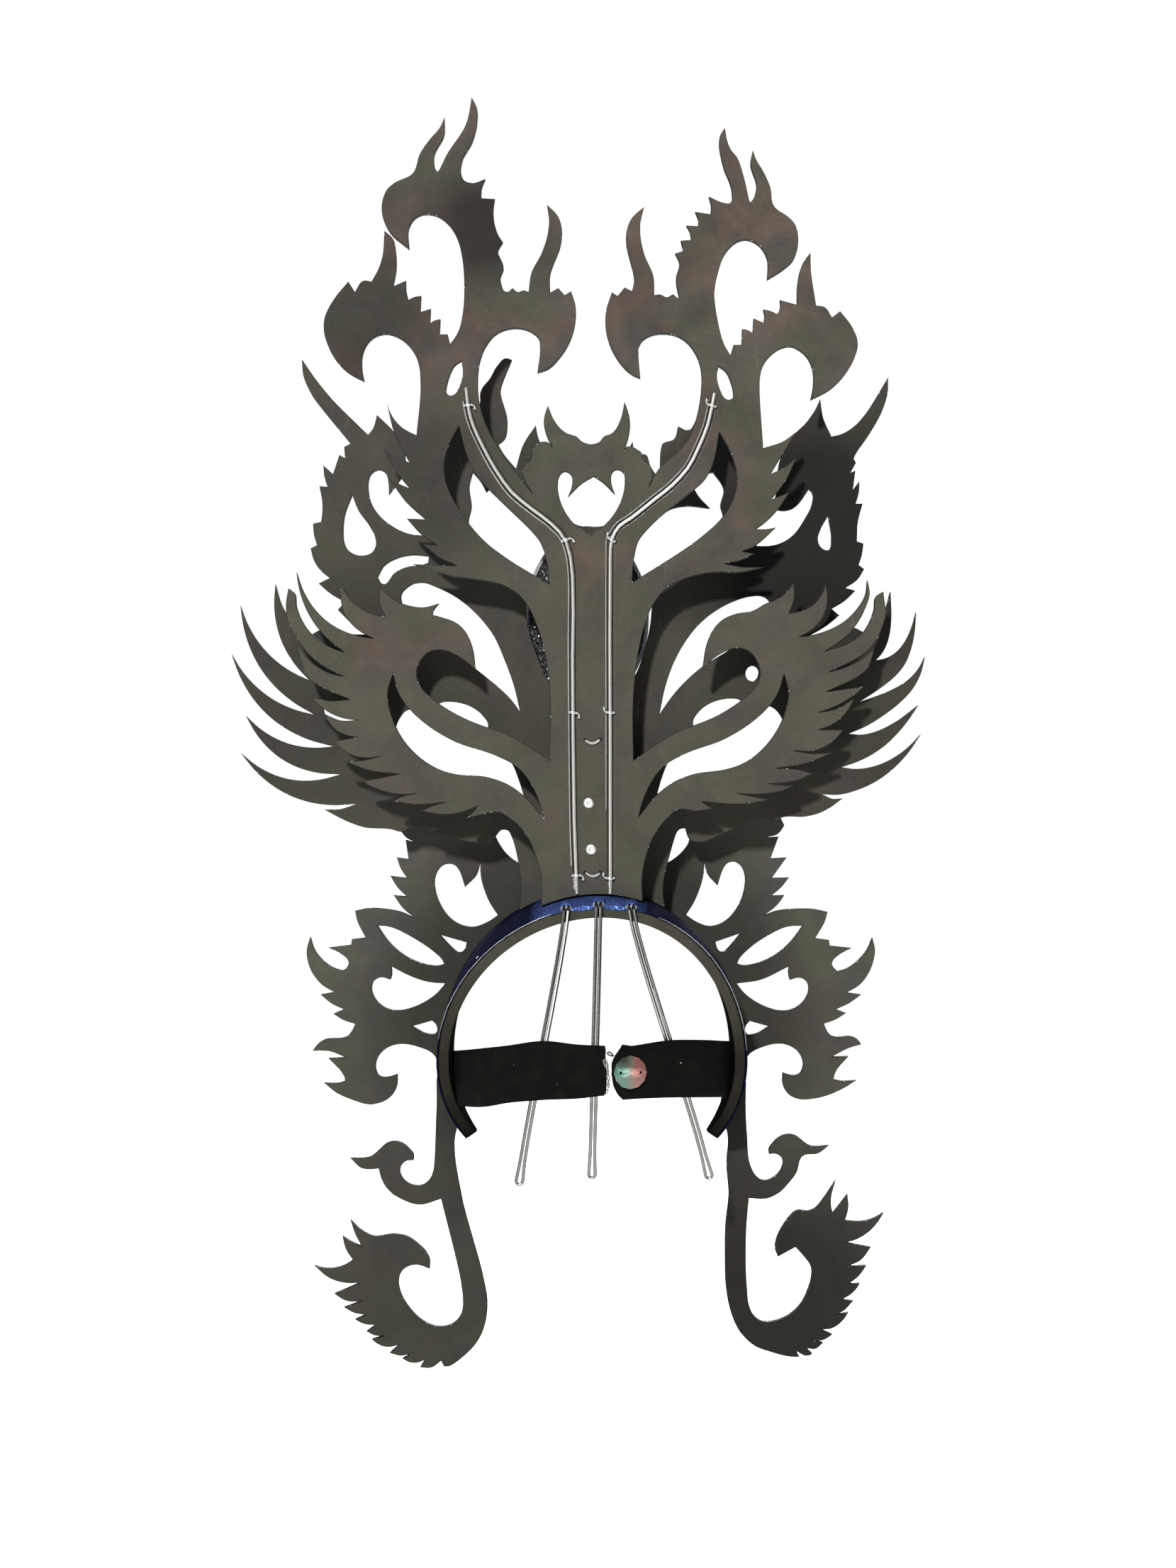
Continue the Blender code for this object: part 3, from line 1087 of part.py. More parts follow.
def build_rivets(metal, foam, collection):
    """Two pop rivets through the back panel into the block that holds it off the wing panel."""
    drawing = back_drawing()
    front_of_back_panel = BACK_PANEL_FACE_Y - PANEL_FOAM
    spacer_back = front_of_back_panel - SEAT_GAP
    spacer_front = WING_PANEL_FACE_Y + SEAT_GAP
    foot = drawing.base_z
    box = [Vector((-SPACER_HALF_WIDTH, foot + SPACER_LOW)), Vector((SPACER_HALF_WIDTH, foot + SPACER_LOW)),
           Vector((SPACER_HALF_WIDTH, foot + SPACER_HIGH)), Vector((-SPACER_HALF_WIDTH, foot + SPACER_HIGH))]
    outlines = [box]
    for name, out, up in RIVETS:
        centre = drawing.place([Vector((out, up))])[0]
        outlines.append(circle(centre, RIVET_HOLE_RADIUS))
        head_y = BACK_PANEL_FACE_Y + SEAT_GAP
        dome = [(RIVET_HEAD_RADIUS * out, head_y + RIVET_HEAD_HEIGHT * high) for out, high in RIVET_DOME]
        shank_end = (spacer_back + spacer_front) / 2
        shank = [(RIVET_SHANK_RADIUS, head_y), (RIVET_SHANK_RADIUS, shank_end), (0, shank_end)]
        build_rivet(f"rivet_{name}", centre, dome + shank, metal, collection)
    flat_piece("panel_spacer", outlines, spacer_back - spacer_front, spacer_back, foam, collection)


def build_rivet(name, centre, profile, material, collection):
    """A turned rivet whose axis runs along Y, from its profile of radius and height."""
    mesh = bmesh.new()
    points = [mesh.verts.new((radius, y, 0)) for radius, y in profile]
    for start, end in zip(points, points[1:]):
        mesh.edges.new((start, end))
    rivet = finished(name, mesh, material, collection)
    rivet.location = (centre.x, 0, centre.y)
    round_shading(rivet)
    turn = rivet.modifiers.new("turn", "SCREW")
    turn.axis = "Y"
    turn.steps = turn.render_steps = RIVET_SIDES
    turn.use_merge_vertices = True
    turn.merge_threshold = 1e-5
    return rivet


def pointed_oval(half_width, half_height, centre):
    """An oval that comes to a blunt point at top and bottom."""
    points = []
    for angle in turn_angles(64):
        narrow = 1 - MEDALLION_NARROWING * abs(math.sin(angle)) ** 3
        points.append(centre + Vector((half_width * math.cos(angle) * narrow, half_height * math.sin(angle))))
    return points


def build_medallion(glitter, clear, collection):
    """The black pointed oval in front of the wing panel's opening, with its pale backing sheet."""
    drawing = wing_drawing()
    centre = drawing.place([Vector(MEDALLION_MIDDLE)])[0]
    back = WING_PANEL_FACE_Y - PANEL_FOAM - SEAT_GAP
    oval = pointed_oval(MEDALLION_HALF_WIDTH, MEDALLION_HALF_HEIGHT, centre)
    flat_piece("centre_medallion", [oval], MEDALLION_FOAM, back, glitter, collection)
    wide = pointed_oval(MEDALLION_HALF_WIDTH + BACKING_MARGIN, MEDALLION_HALF_HEIGHT + BACKING_MARGIN, centre)
    flat_piece("medallion_backing", [wide], BACKING_SHEET, back - MEDALLION_FOAM - SEAT_GAP, clear, collection)


def build_prongs(steel, collection):
    """Three hairpins of steel wire, hooked over the arch's back edge and hanging behind the head."""
    for name, top_out, bottom_out, length in PRONGS:
        top_x = top_out * ARCH_INNER_RADIUS
        bottom_x = bottom_out * ARCH_INNER_RADIUS
        down = length * ARCH_INNER_RADIUS
        hook_z = arch_top(top_x, ARCH_BACK_Y, cover_offset()) + SEAT_GAP + PRONG_WIRE_RADIUS
        behind = ARCH_BACK_Y + SEAT_GAP + PRONG_WIRE_RADIUS
        middle = [Vector((top_x, ARCH_BACK_Y + back, hook_z + up)) for back, up in PRONG_HOOK]
        for share, out_share, back_share in PRONG_LINE:
            x = top_x + (bottom_x - top_x) * out_share
            outer = x + math.copysign(PRONG_EYE_PITCH, x)
            limit = under_strap(outer, PRONG_WIRE_RADIUS)
            y = min(behind + STRAP_BULGE * back_share, limit)
            middle.append(Vector((x, y, hook_z - down * share)))
        middle = smooth(middle, 2)
        one, other = [], []
        for index, point in enumerate(middle):
            after = middle[min(index + 1, len(middle) - 1)]
            before = middle[max(index - 1, 0)]
            heading = after - before
            across = Vector((heading.z, 0, -heading.x))
            across = across.normalized() if across.length > 1e-6 else Vector((1, 0, 0))
            if across.x < 0:
                across = -across
            spread = 1 - min((point - middle[-1]).length / PRONG_EYE_LENGTH, 1)
            half = (PRONG_PITCH + (PRONG_EYE_PITCH - PRONG_PITCH) * spread) / 2
            one.append(point + across * half)
            other.append(point - across * half)
        heading = (middle[-1] - middle[-2]).normalized()
        across = (one[-1] - other[-1]).normalized()
        bend = [middle[-1] + across * half * math.cos(a) + heading * half * math.sin(a)
                for a in (math.pi * step / PRONG_BEND_STEPS for step in range(1, PRONG_BEND_STEPS))]
        tube(f"prong_{name}", one + bend + other[::-1], PRONG_WIRE_RADIUS, steel, collection)


def strap_reach(side, z):
    return arch_side(side, STRAP_END_Y, z) - SEAT_GAP - STRAP_CLOTH / 2


def strap_point(share, z):
    """A point of the strap's middle layer at a share of the way out to the arch, at height z."""
    reach = strap_reach(1 if share > 0 else -1, z)
    inner_power, outer_power = STRAP_BOW
    bow = (1 - min(abs(share), 1) ** inner_power) ** outer_power
    return Vector((share * reach, STRAP_END_Y + STRAP_BULGE * bow, z))


def under_strap(x, radius):
    """How far back a wire at x may stand and still pass under the strap."""
    z = BUTTON_UP * STRAP_WIDTH
    share = x / strap_reach(1 if x > 0 else -1, z)
    facing = strap_facing(share, z)
    return strap_point(share, z).y - (STRAP_CLOTH / 2 + 2 * SEAT_GAP + radius) / facing.y


def strap_facing(share, z):
    """The way that the strap's back faces there."""
    step = 0.01
    slope = strap_point(min(share + step, 1), z) - strap_point(max(share - step, -1), z)
    return Vector((-slope.y, slope.x, 0)).normalized()


def build_straps(cloth, collection):
    """The two strap halves, their cloth on edge, each from the arch's inner face round the back of the head."""
    for name, rows in (("strap_left", STRAP_LEFT), ("strap_right", STRAP_RIGHT)):
        sections = []
        columns = [(out, up * STRAP_WIDTH, wide * STRAP_WIDTH / 2) for out, up, wide in rows]
        for share, middle, half in smooth(columns, 3):
            section = []
            for z, layer in ((middle - half, -1), (middle - half, 1), (middle + half, 1), (middle + half, -1)):
                offset = strap_facing(share, z) * layer * STRAP_CLOTH / 2
                section.append(strap_point(share, z) + offset)
            sections.append(section)
        loft(name, sections, cloth, collection)


def build_button(crystal, collection, cutters):
    """A faceted button with a table, a crown of facets, a girdle and two sew holes."""
    height = BUTTON_UP * STRAP_WIDTH
    normal = strap_facing(BUTTON_OUT, height)
    face = strap_point(BUTTON_OUT, height) + normal * STRAP_CLOTH / 2
    mesh = bmesh.new()
    rings = []
    for out, high, turned in BUTTON_RINGS:
        radius = out * BUTTON_RADIUS
        turn = math.pi / BUTTON_SIDES if turned else 0
        rings.append([
            mesh.verts.new((radius * math.cos(a + turn), radius * math.sin(a + turn), high * BUTTON_HEIGHT))
            for a in turn_angles(BUTTON_SIDES)
        ])
    for one, other in zip(rings, rings[1:]):
        for index in range(BUTTON_SIDES):
            neighbour = (index + 1) % BUTTON_SIDES
            mesh.faces.new((one[index], one[neighbour], other[neighbour]))
            mesh.faces.new((one[index], other[neighbour], other[index]))
    mesh.faces.new(rings[0][::-1])
    mesh.faces.new(rings[-1])
    bmesh.ops.recalc_face_normals(mesh, faces=mesh.faces)
    button = finished("crystal_button", mesh, crystal, collection)
    button.location = face + normal * SEAT_GAP
    facing = math.atan2(normal.y, normal.x) - math.radians(90)
    button.rotation_euler = Euler((math.radians(-90), 0, facing))
    for side in (-1, 1):
        cut = bpy.data.meshes.new("sew_hole")
        drill = bmesh.new()
        bmesh.ops.create_cone(drill, cap_ends=True, segments=10, radius1=SEW_HOLE_RADIUS, radius2=SEW_HOLE_RADIUS,
                              depth=BUTTON_HEIGHT * 4)
        drill.to_mesh(cut)
        drill.free()
        cutter = bpy.data.objects.new(f"sew_hole_{'left' if side > 0 else 'right'}", cut)
        cutters.objects.link(cutter)
        cutter.parent = button
        cutter.location = (side * SEW_HOLE_OUT, 0, 0)
        cutter.display_type = "WIRE"
        cutter.hide_render = True
        hole = button.modifiers.new("sew hole", "BOOLEAN")
        hole.operation = "DIFFERENCE"
        hole.object = cutter


def main():
    clear_scene()
    crown = new_collection("carnival_crown")
    cutters = new_collection("cutters", hidden=True)
    foam = new_material("grey foam", (0.075, 0.072, 0.062), 0.62)
    arch_foam = new_material("arch foam", (0.10, 0.098, 0.085), 0.7)
    blue = new_material("royal blue glitter cloth", (0.01, 0.03, 0.25), 0.35, 0.6)
    black = new_material("black glitter foam", (0.008, 0.008, 0.009), 0.4, 0.2)
    clear = new_material("pale backing sheet", (0.5, 0.5, 0.48), 0.3)
    steel = new_material("bright steel", (0.78, 0.77, 0.74), 0.25, 1.0)
    elastic = new_material("black elastic", (0.012, 0.012, 0.013), 0.85)
    crystal = new_material("aurora crystal", (0.75, 0.7, 0.75), 0.05, 0.3)
    aluminium = new_material("aluminium", (0.8, 0.8, 0.8), 0.35, 1.0)

    arch_shell("head_band", 0, ARCH_FOAM, arch_foam, crown)
    arch_shell("band_cover", ARCH_FOAM + SEAT_GAP, cover_offset(), blue, crown)
    build_back_panel(foam, crown)
    build_wing_panel(foam, crown)
    build_side_panel(foam, crown)
    build_medallion(black, clear, crown)
    build_rods(steel, crown)
    build_rivets(aluminium, foam, crown)
    build_prongs(steel, crown)
    build_straps(elastic, crown)
    build_button(crystal, crown, cutters)


main()
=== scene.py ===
"""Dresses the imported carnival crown: foam panels, glitter cloth, steel wire, elastic and a crystal button.

Metres, in the CAD model's frame. The wearer looks along -Y, so the photographed back is the +Y side.
"""

import random
from math import atan2, copysign, cos, pi, radians, sin, tau

import bmesh
import bpy
import numpy as np
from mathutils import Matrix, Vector, geometry


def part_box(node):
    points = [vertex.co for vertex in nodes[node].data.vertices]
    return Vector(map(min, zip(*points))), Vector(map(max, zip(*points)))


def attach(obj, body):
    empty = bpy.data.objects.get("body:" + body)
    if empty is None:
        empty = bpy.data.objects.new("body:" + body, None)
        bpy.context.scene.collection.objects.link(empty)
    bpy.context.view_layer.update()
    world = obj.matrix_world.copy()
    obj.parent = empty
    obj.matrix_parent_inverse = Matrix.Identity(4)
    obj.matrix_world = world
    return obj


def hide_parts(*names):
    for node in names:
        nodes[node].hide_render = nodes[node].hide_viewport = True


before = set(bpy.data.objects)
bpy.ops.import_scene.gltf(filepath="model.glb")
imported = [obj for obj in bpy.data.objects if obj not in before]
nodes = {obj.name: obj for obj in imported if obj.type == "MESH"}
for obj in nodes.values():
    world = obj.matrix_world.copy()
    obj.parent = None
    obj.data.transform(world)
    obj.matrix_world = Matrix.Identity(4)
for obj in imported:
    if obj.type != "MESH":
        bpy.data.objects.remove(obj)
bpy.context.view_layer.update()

# The photograph's frame, in metres at the back panel's back face
PANEL_BACK_Y = 0.021
FRAME_HEIGHT = 0.9748
CAMERA_DISTANCE = 1.95
EYE_X = 0.0024
EYE_Z = 0.0747
SENSOR = 36.0
FLOOR_Z = -0.92

# How the foam was cut. The profile of a rounded edge is in shares inward and in from the face
CUT_ROUNDING = 0.00035
EDGE_PROFILE = ((1.0, 0.0), (0.3, 0.3), (0.0, 1.0))
OUTLINE_STEP = 0.0013
CORNER_ANGLE = radians(60)
SHARP_EDGE = radians(50)

# Heights between which the foam turns browner, and between which bare wire is darkened towards its low end as
# painted shade
FOAM_TOP = (0.22, 0.38)
WIRE_SHADE_HEIGHTS = (-0.100, -0.122)
# The middle of the cloth's blue stretch, and how far from it the cloth starts to darken and is dark, as
# painted shade
BLUE_MIDDLE = 0.002
CLOTH_SHADE_REACH = (0.022, 0.037)


# Materials


class Nodes:
    """A node tree, with short calls that add and join its nodes."""

    def __init__(self, tree):
        self.tree = tree

    def node(self, kind, inputs=(), **settings):
        made = self.tree.nodes.new(kind)
        for name, value in settings.items():
            setattr(made, name, value)
        for name, value in dict(inputs).items():
            self.join(value, made.inputs[name])
        return made

    def join(self, value, socket):
        if isinstance(value, bpy.types.NodeSocket):
            self.tree.links.new(value, socket)
        else:
            socket.default_value = value

    def maths(self, operation, first, second=0.0):
        return self.node("ShaderNodeMath", {0: first, 1: second}, operation=operation).outputs[0]

    def times(self, first, second):
        return self.maths("MULTIPLY", first, second)

    def plus(self, first, second):
        return self.maths("ADD", first, second)

    def minus(self, first, second):
        return self.maths("SUBTRACT", first, second)

    def vector(self, operation, first, second=(0, 0, 0)):
        """Vector maths. The outputs are a vector and a number."""
        return self.node("ShaderNodeVectorMath", {0: first, 1: second}, operation=operation).outputs


class Finish(Nodes):
    """A material on Object coordinates."""

    def __init__(self, name, roughness=0.5, metallic=0.0, **sockets):
        self.material = bpy.data.materials.new(name)
        self.material.use_nodes = True
        super().__init__(self.material.node_tree)
        self.shader = self.tree.nodes["Principled BSDF"]
        for socket, value in dict(sockets, roughness=roughness, metallic=metallic).items():
            self.shader.inputs[socket.replace("_", " ").title().replace("Ior", "IOR")].default_value = value
        self.place = self.node("ShaderNodeTexCoord").outputs["Object"]

    def noise(self, scale, detail=3.0, roughness=0.5, place=None, distortion=0.0):
        inputs = {"Vector": place or self.place, "Scale": scale, "Detail": detail, "Roughness": roughness,
                  "Distortion": distortion}
        return self.node("ShaderNodeTexNoise", inputs).outputs["Fac"]

    def cells(self, scale):
        """A random colour for each small cell."""
        return self.node("ShaderNodeTexVoronoi", {"Vector": self.place, "Scale": scale}).outputs["Color"]

    def chosen(self, cells, limit, more=None):
        """The cells that pass a limit by chance. More raises every cell's chance."""
        chance = self.node("ShaderNodeSeparateColor", {"Color": cells}).outputs["Red"]
        return self.maths("GREATER_THAN", self.plus(chance, more) if more else chance, limit)

    def axis(self, letter, vector=None):
        """One coordinate of a vector, or of the place on the object."""
        return self.node("ShaderNodeSeparateXYZ", {"Vector": vector or self.place}).outputs[letter]

    def stretched(self, scale, turn=(0, 0, 0)):
        inputs = {"Vector": self.place, "Scale": scale, "Rotation": turn}
        return self.node("ShaderNodeMapping", inputs).outputs[0]

    def ramp(self, share, low=0.0, high=1.0, start=0.0, end=1.0):
        inputs = {"Value": share, "From Min": low, "From Max": high, "To Min": start, "To Max": end}
        return self.node("ShaderNodeMapRange", inputs).outputs["Result"]

    def blend(self, share, first, second, mode="MIX"):
        made = self.node("ShaderNodeMix", data_type="RGBA", blend_type=mode)
        for socket, value in ((0, share), (6, first), (7, second)):
            self.join((*value, 1.0) if isinstance(value, tuple) else value, made.inputs[socket])
        return made.outputs[2]

    def shaded(self, tint, share, pattern, dark, light):
        """The tint made darker and lighter by a pattern."""
        return self.blend(share, tint, self.blend(pattern, (dark,) * 3, (light,) * 3), "SOFT_LIGHT")

    def bump(self, height, distance, strength=1.0, normal=None):
        inputs = {"Height": height, "Distance": distance, "Strength": strength}
        if normal is not None:
            inputs["Normal"] = normal
        return self.node("ShaderNodeBump", inputs).outputs["Normal"]

    def facing(self):
        return self.node("ShaderNodeNewGeometry").outputs["Normal"]

    def away_from_back(self, near=0.8, far=0.4):
        """How far the surface has turned from the back and front towards a side."""
        return self.ramp(self.maths("ABSOLUTE", self.axis("Y", self.facing())), near, far)

    def colour(self, value):
        self.join((*value, 1.0) if isinstance(value, tuple) else value, self.shader.inputs["Base Color"])

    def metal(self, value):
        self.join(value, self.shader.inputs["Metallic"])

    def rough(self, value):
        self.join(value, self.shader.inputs["Roughness"])

    def surface(self, normal):
        self.join(normal, self.shader.inputs["Normal"])

    def tilted(self, cells, amount):
        """Tilts the surface of each cell its own way."""
        tilt = self.vector("ADD", cells, (-0.5, -0.5, -0.5))[0]
        lean = self.node("ShaderNodeVectorMath", {0: tilt, "Scale": amount}, operation="SCALE").outputs[0]
        self.surface(self.vector("NORMALIZE", self.vector("ADD", self.facing(), lean)[0])[0])


def foam_finish(name, olive, brown, grey, painted_shade_spots=(), painted_wall_shade=0.0, shine=0.18):
    """Closed-cell foam: three tints in broad patches, browner towards the top, with pores and faint scuffs.

    A painted shade spot is a place across and up, the radii of its core and of its reach, and its strength.
    Painted wall shade darkens the sides that turn away from the back.
    """
    finish = Finish(name, roughness=0.62, specular_ior_level=shine)
    top = finish.ramp(finish.axis("Z"), *FOAM_TOP)
    patches = finish.ramp(finish.plus(finish.noise(16, 2, 0.5), finish.times(top, 0.12)), 0.50, 0.64)
    drift = finish.ramp(finish.noise(33, 3, 0.6), 0.48, 0.66)
    tint = finish.blend(drift, finish.blend(patches, olive, brown), grey)
    cloud = finish.ramp(finish.noise(26, 4, 0.65, distortion=0.6), 0.3, 0.7)
    tint = finish.shaded(tint, finish.plus(0.35, finish.times(top, 0.25)), cloud, 0.25, 0.72)
    fleck = finish.ramp(finish.noise(1400, 2, 0.6), 0.3, 0.7)
    tint = finish.shaded(tint, 0.14, fleck, 0.0, 1.0)
    scuffs = finish.ramp(finish.noise(160, 2, 0.5, finish.stretched((1, 1, 0.12), (0, 0.5, 0))), 0.70, 0.78)
    tint = finish.blend(finish.times(scuffs, 0.10), tint, (0.20, 0.19, 0.17))
    flat = finish.vector("MULTIPLY", finish.place, (1, 0, 1))[0]
    # Painted shade: the tint is darkened towards near black round each spot, standing in for shade and cast
    # shadow
    for across, up, core, reach, strength in painted_shade_spots:
        away = finish.vector("DISTANCE", flat, (across, 0, up))[1]
        share = finish.times(finish.ramp(away, reach, core), strength)
        tint = finish.blend(share, tint, (0.004, 0.003, 0.002))
    # Painted shade: the sides that turn away from the back are darkened, as on the arch's inner wall
    if painted_wall_shade:
        tint = finish.blend(finish.times(finish.away_from_back(), painted_wall_shade), tint, (0.004, 0.004, 0.004))
    finish.colour(tint)
    finish.rough(finish.ramp(finish.noise(60, 3), start=0.5, end=0.68))
    pores = finish.bump(finish.noise(2200, 2, 0.7), 0.00012, 0.5)
    finish.surface(finish.bump(finish.noise(9, 2), 0.004, 0.35, pores))
    return finish.material


def cut_finish(name, dark, light):
    """The sawn edge of the foam, with marks that run through its thickness and stray flakes of glitter. Its
    tints are darker than the face's: partly the edge's own colour, partly painted shade for the little light
    a cut edge gets.
    """
    finish = Finish(name, roughness=0.75, specular_ior_level=0.3)
    marks = finish.noise(900, 3, 0.6, finish.stretched((1, 0.08, 1)))
    stray = finish.chosen(finish.cells(1500), 0.985)
    finish.colour(finish.blend(stray, finish.blend(marks, dark, light), (0.55, 0.60, 0.75)))
    finish.surface(finish.bump(marks, 0.0003, 0.6))
    return finish.material


def glitter_finish(name, ground, flake, size, share):
    """Flakes at random tilts in a dark ground. The share is how many of them catch the light."""
    finish = Finish(name, roughness=0.35)
    cells = finish.cells(1 / size)
    bright = finish.chosen(cells, 1 - share)
    finish.colour(finish.blend(bright, ground, flake))
    finish.metal(finish.times(bright, 0.9))
    finish.rough(finish.minus(0.5, finish.times(bright, 0.3)))
    finish.tilted(cells, 0.9)
    return finish.material


def cloth_finish(name, size):
    """Glitter cloth, royal blue over the crown of the arch and darkened to nearly black down its sides as
    painted shade.
    """
    finish = Finish(name, roughness=0.5, specular_ior_level=0.04)
    side = finish.ramp(finish.maths("ABSOLUTE", finish.minus(finish.axis("X"), BLUE_MIDDLE)), *CLOTH_SHADE_REACH)
    cells = finish.cells(1 / size)
    bright = finish.chosen(cells, 1.0, finish.minus(0.34, finish.times(side, 0.18)))
    worn = finish.ramp(finish.noise(70, 3, 0.6), 0.35, 0.65)
    royal = finish.blend(worn, (0.034, 0.050, 0.14), (0.056, 0.084, 0.24))
    # Painted shade: the ground and the flakes are darkened to nearly black down the sides
    ground = finish.blend(side, royal, (0.0035, 0.005, 0.020))
    flake = finish.blend(side, (0.12, 0.28, 0.90), (0.010, 0.016, 0.060))
    finish.colour(finish.blend(bright, ground, flake))
    finish.metal(finish.times(bright, finish.minus(0.8, finish.times(side, 0.7))))
    finish.rough(finish.minus(finish.plus(0.55, finish.times(side, 0.42)), finish.times(bright, 0.25)))
    finish.tilted(cells, finish.minus(0.8, finish.times(side, 0.68)))
    return finish.material


def steel_finish(name, colour, roughness, edge=1.0):
    """Bare wire. A low edge paints shade on it: darker low down and where it turns away from the back."""
    finish = Finish(name, roughness=roughness, metallic=1.0, specular_tint=(edge, edge, edge, 1))
    # Painted shade: with a low edge the wire is darkened towards its low end and where it turns from the back
    low = finish.ramp(finish.axis("Z"), *WIRE_SHADE_HEIGHTS)
    tint = finish.blend(low, colour, tuple((0.45 + 0.55 * edge) * part for part in colour))
    tint = finish.blend(finish.away_from_back(0.93, 0.60), tint, tuple(edge * part for part in colour))
    finish.colour(tint)
    finish.rough(finish.plus(roughness, finish.times(finish.noise(700, 3), 0.15)))
    finish.surface(finish.bump(finish.noise(1200, 2), 0.0001, 0.25))
    return finish.material


def elastic_finish(name):
    """Black woven elastic: rows of small ribs across its width, and rubber showing between them."""
    finish = Finish(name, roughness=0.9, specular_ior_level=0.08)
    along, across = (finish.node("ShaderNodeAttribute", attribute_name=way).outputs["Fac"]
                     for way in ("along", "across"))
    cloth = finish.node("ShaderNodeCombineXYZ", {"X": along, "Y": across}).outputs[0]
    ribs, ends = (
        finish.node("ShaderNodeTexWave",
                    {"Vector": cloth, "Detail": 1.0, "Scale": scale, "Distortion": stray},
                    bands_direction=way).outputs["Fac"]
        for scale, stray, way in ((340.0, 0.8, "X"), (210.0, 0.6, "Y"))
    )
    threads = finish.noise(2600, 2, 0.7)
    worn = finish.ramp(finish.noise(90, 3, 0.6), 0.45, 0.75)
    thread_black = finish.blend(threads, (0.0022, 0.0023, 0.0018), (0.0062, 0.0064, 0.0050))
    finish.colour(finish.blend(finish.times(worn, 0.6), thread_black, (0.0095, 0.0097, 0.0076)))
    finish.surface(finish.bump(finish.times(ribs, ends), 0.00022, 0.7, finish.bump(threads, 0.00015, 0.6)))
    return finish.material


def crystal_finish(name, centre):
    """Cut glass with a rainbow coating: each facet has its own tint, green on one side, rose on the other,
    with painted shade over the upper green side and a painted glint along the middle.
    """
    finish = Finish(name, roughness=0.14, metallic=0.2, coat_weight=0.6, coat_roughness=0.04)
    offset = finish.vector("SUBTRACT", finish.place, centre)[0]
    out, high = finish.axis("X", offset), finish.axis("Z", offset)
    turn = finish.maths("ARCTAN2", high, out)
    facet, ray = (
        finish.node("ShaderNodeTexWhiteNoise", {"W": finish.maths("FLOOR", finish.times(turn, wedges / tau))},
                    noise_dimensions="1D").outputs["Value"]
        for wedges in (BUTTON_FACETS, 3 * BUTTON_FACETS)
    )
    side = finish.plus(finish.ramp(out, -0.006, 0.006), finish.times(facet, 0.3))
    tint = finish.blend(finish.ramp(side, 0.35, 0.9), (0.36, 0.11, 0.11), (0.09, 0.23, 0.165))
    tint = finish.blend(finish.times(ray, 0.7), tint, (0.13, 0.13, 0.105))
    # Painted shade: the upper part of the green side is darkened
    shade = finish.times(finish.ramp(high, 0.002, 0.007), finish.ramp(out, -0.002, 0.003))
    tint = finish.blend(shade, tint, (0.045, 0.055, 0.045))
    # Painted glint: bright tints along the middle line of the facets, rose on one side and green on the other
    middle = finish.ramp(finish.maths("ABSOLUTE", high), 0.0034, 0.0004)
    within = finish.ramp(finish.maths("ABSOLUTE", out), 0.0090, 0.0030)
    painted_glint = finish.times(finish.times(middle, finish.ramp(ray, 0.1, 0.7)), within)
    glint_tints = finish.blend(finish.ramp(out, -0.002, 0.002), (0.95, 0.50, 0.42), (0.55, 0.95, 0.82))
    finish.colour(finish.blend(painted_glint, tint, glint_tints))
    return finish.material


def sheet_finish(name):
    """A thin clear sheet gone cloudy, with fine scratches."""
    finish = Finish(name, roughness=0.28, transmission_weight=0.35)
    finish.colour(finish.blend(finish.noise(40, 3, 0.6), (0.42, 0.43, 0.42), (0.66, 0.67, 0.66)))
    scratches = finish.noise(500, 2, 0.5, finish.stretched((1, 1, 0.05), (0, 0.7, 0)))
    finish.surface(finish.bump(scratches, 0.0002, 0.4))
    return finish.material


def glue_finish(name, dull, bright):
    """Dried clear glue, shiny and uneven."""
    finish = Finish(name, roughness=0.22, coat_weight=0.5, coat_roughness=0.1)
    finish.colour(finish.blend(finish.noise(420, 3, 0.6), dull, bright))
    finish.surface(finish.bump(finish.noise(900, 2), 0.0003, 0.6))
    return finish.material


def thread_finish(name, dull, bright, metallic, roughness):
    """Twisted thread, its plies drawn as fine slanting marks."""
    finish = Finish(name, roughness=roughness, metallic=metallic)
    plies = finish.noise(1900, 2, 0.5, finish.stretched((1, 1, 0.35), (0, 0.6, 0)))
    finish.colour(finish.blend(plies, dull, bright))
    finish.surface(finish.bump(plies, 0.0002, 0.7))
    return finish.material


BUTTON_FACETS = 24
# Painted shade spots, where a sheet bends away from the light or lies in the shade of another part: across,
# up, core and reach of the spot, strength
BACK_PAINTED_SHADE = ((0.066, 0.421, 0.018, 0.048, 0.85), (0.148, 0.362, 0.025, 0.075, 0.55),
            (0.11, 0.26, 0.025, 0.08, 0.45), (-0.05, 0.385, 0.01, 0.05, 0.15), (0.12, 0.45, 0.01, 0.06, 0.30))
WING_PAINTED_SHADE = ((-0.14, 0.232, 0.05, 0.11, 0.9), (0.19, 0.12, 0.03, 0.10, 0.3), (-0.19, 0.10, 0.03, 0.10, 0.25))
SIDE_PAINTED_SHADE = ((0, -0.075, 0.112, 0.150, 0.55), (0, -0.28, 0.13, 0.30, 0.5), (-0.12, -0.25, 0.04, 0.10, 0.72))
BAND_PAINTED_SHADE = ((0.12, -0.15, 0.06, 0.13, 0.65), (-0.12, -0.15, 0.06, 0.13, 0.65))

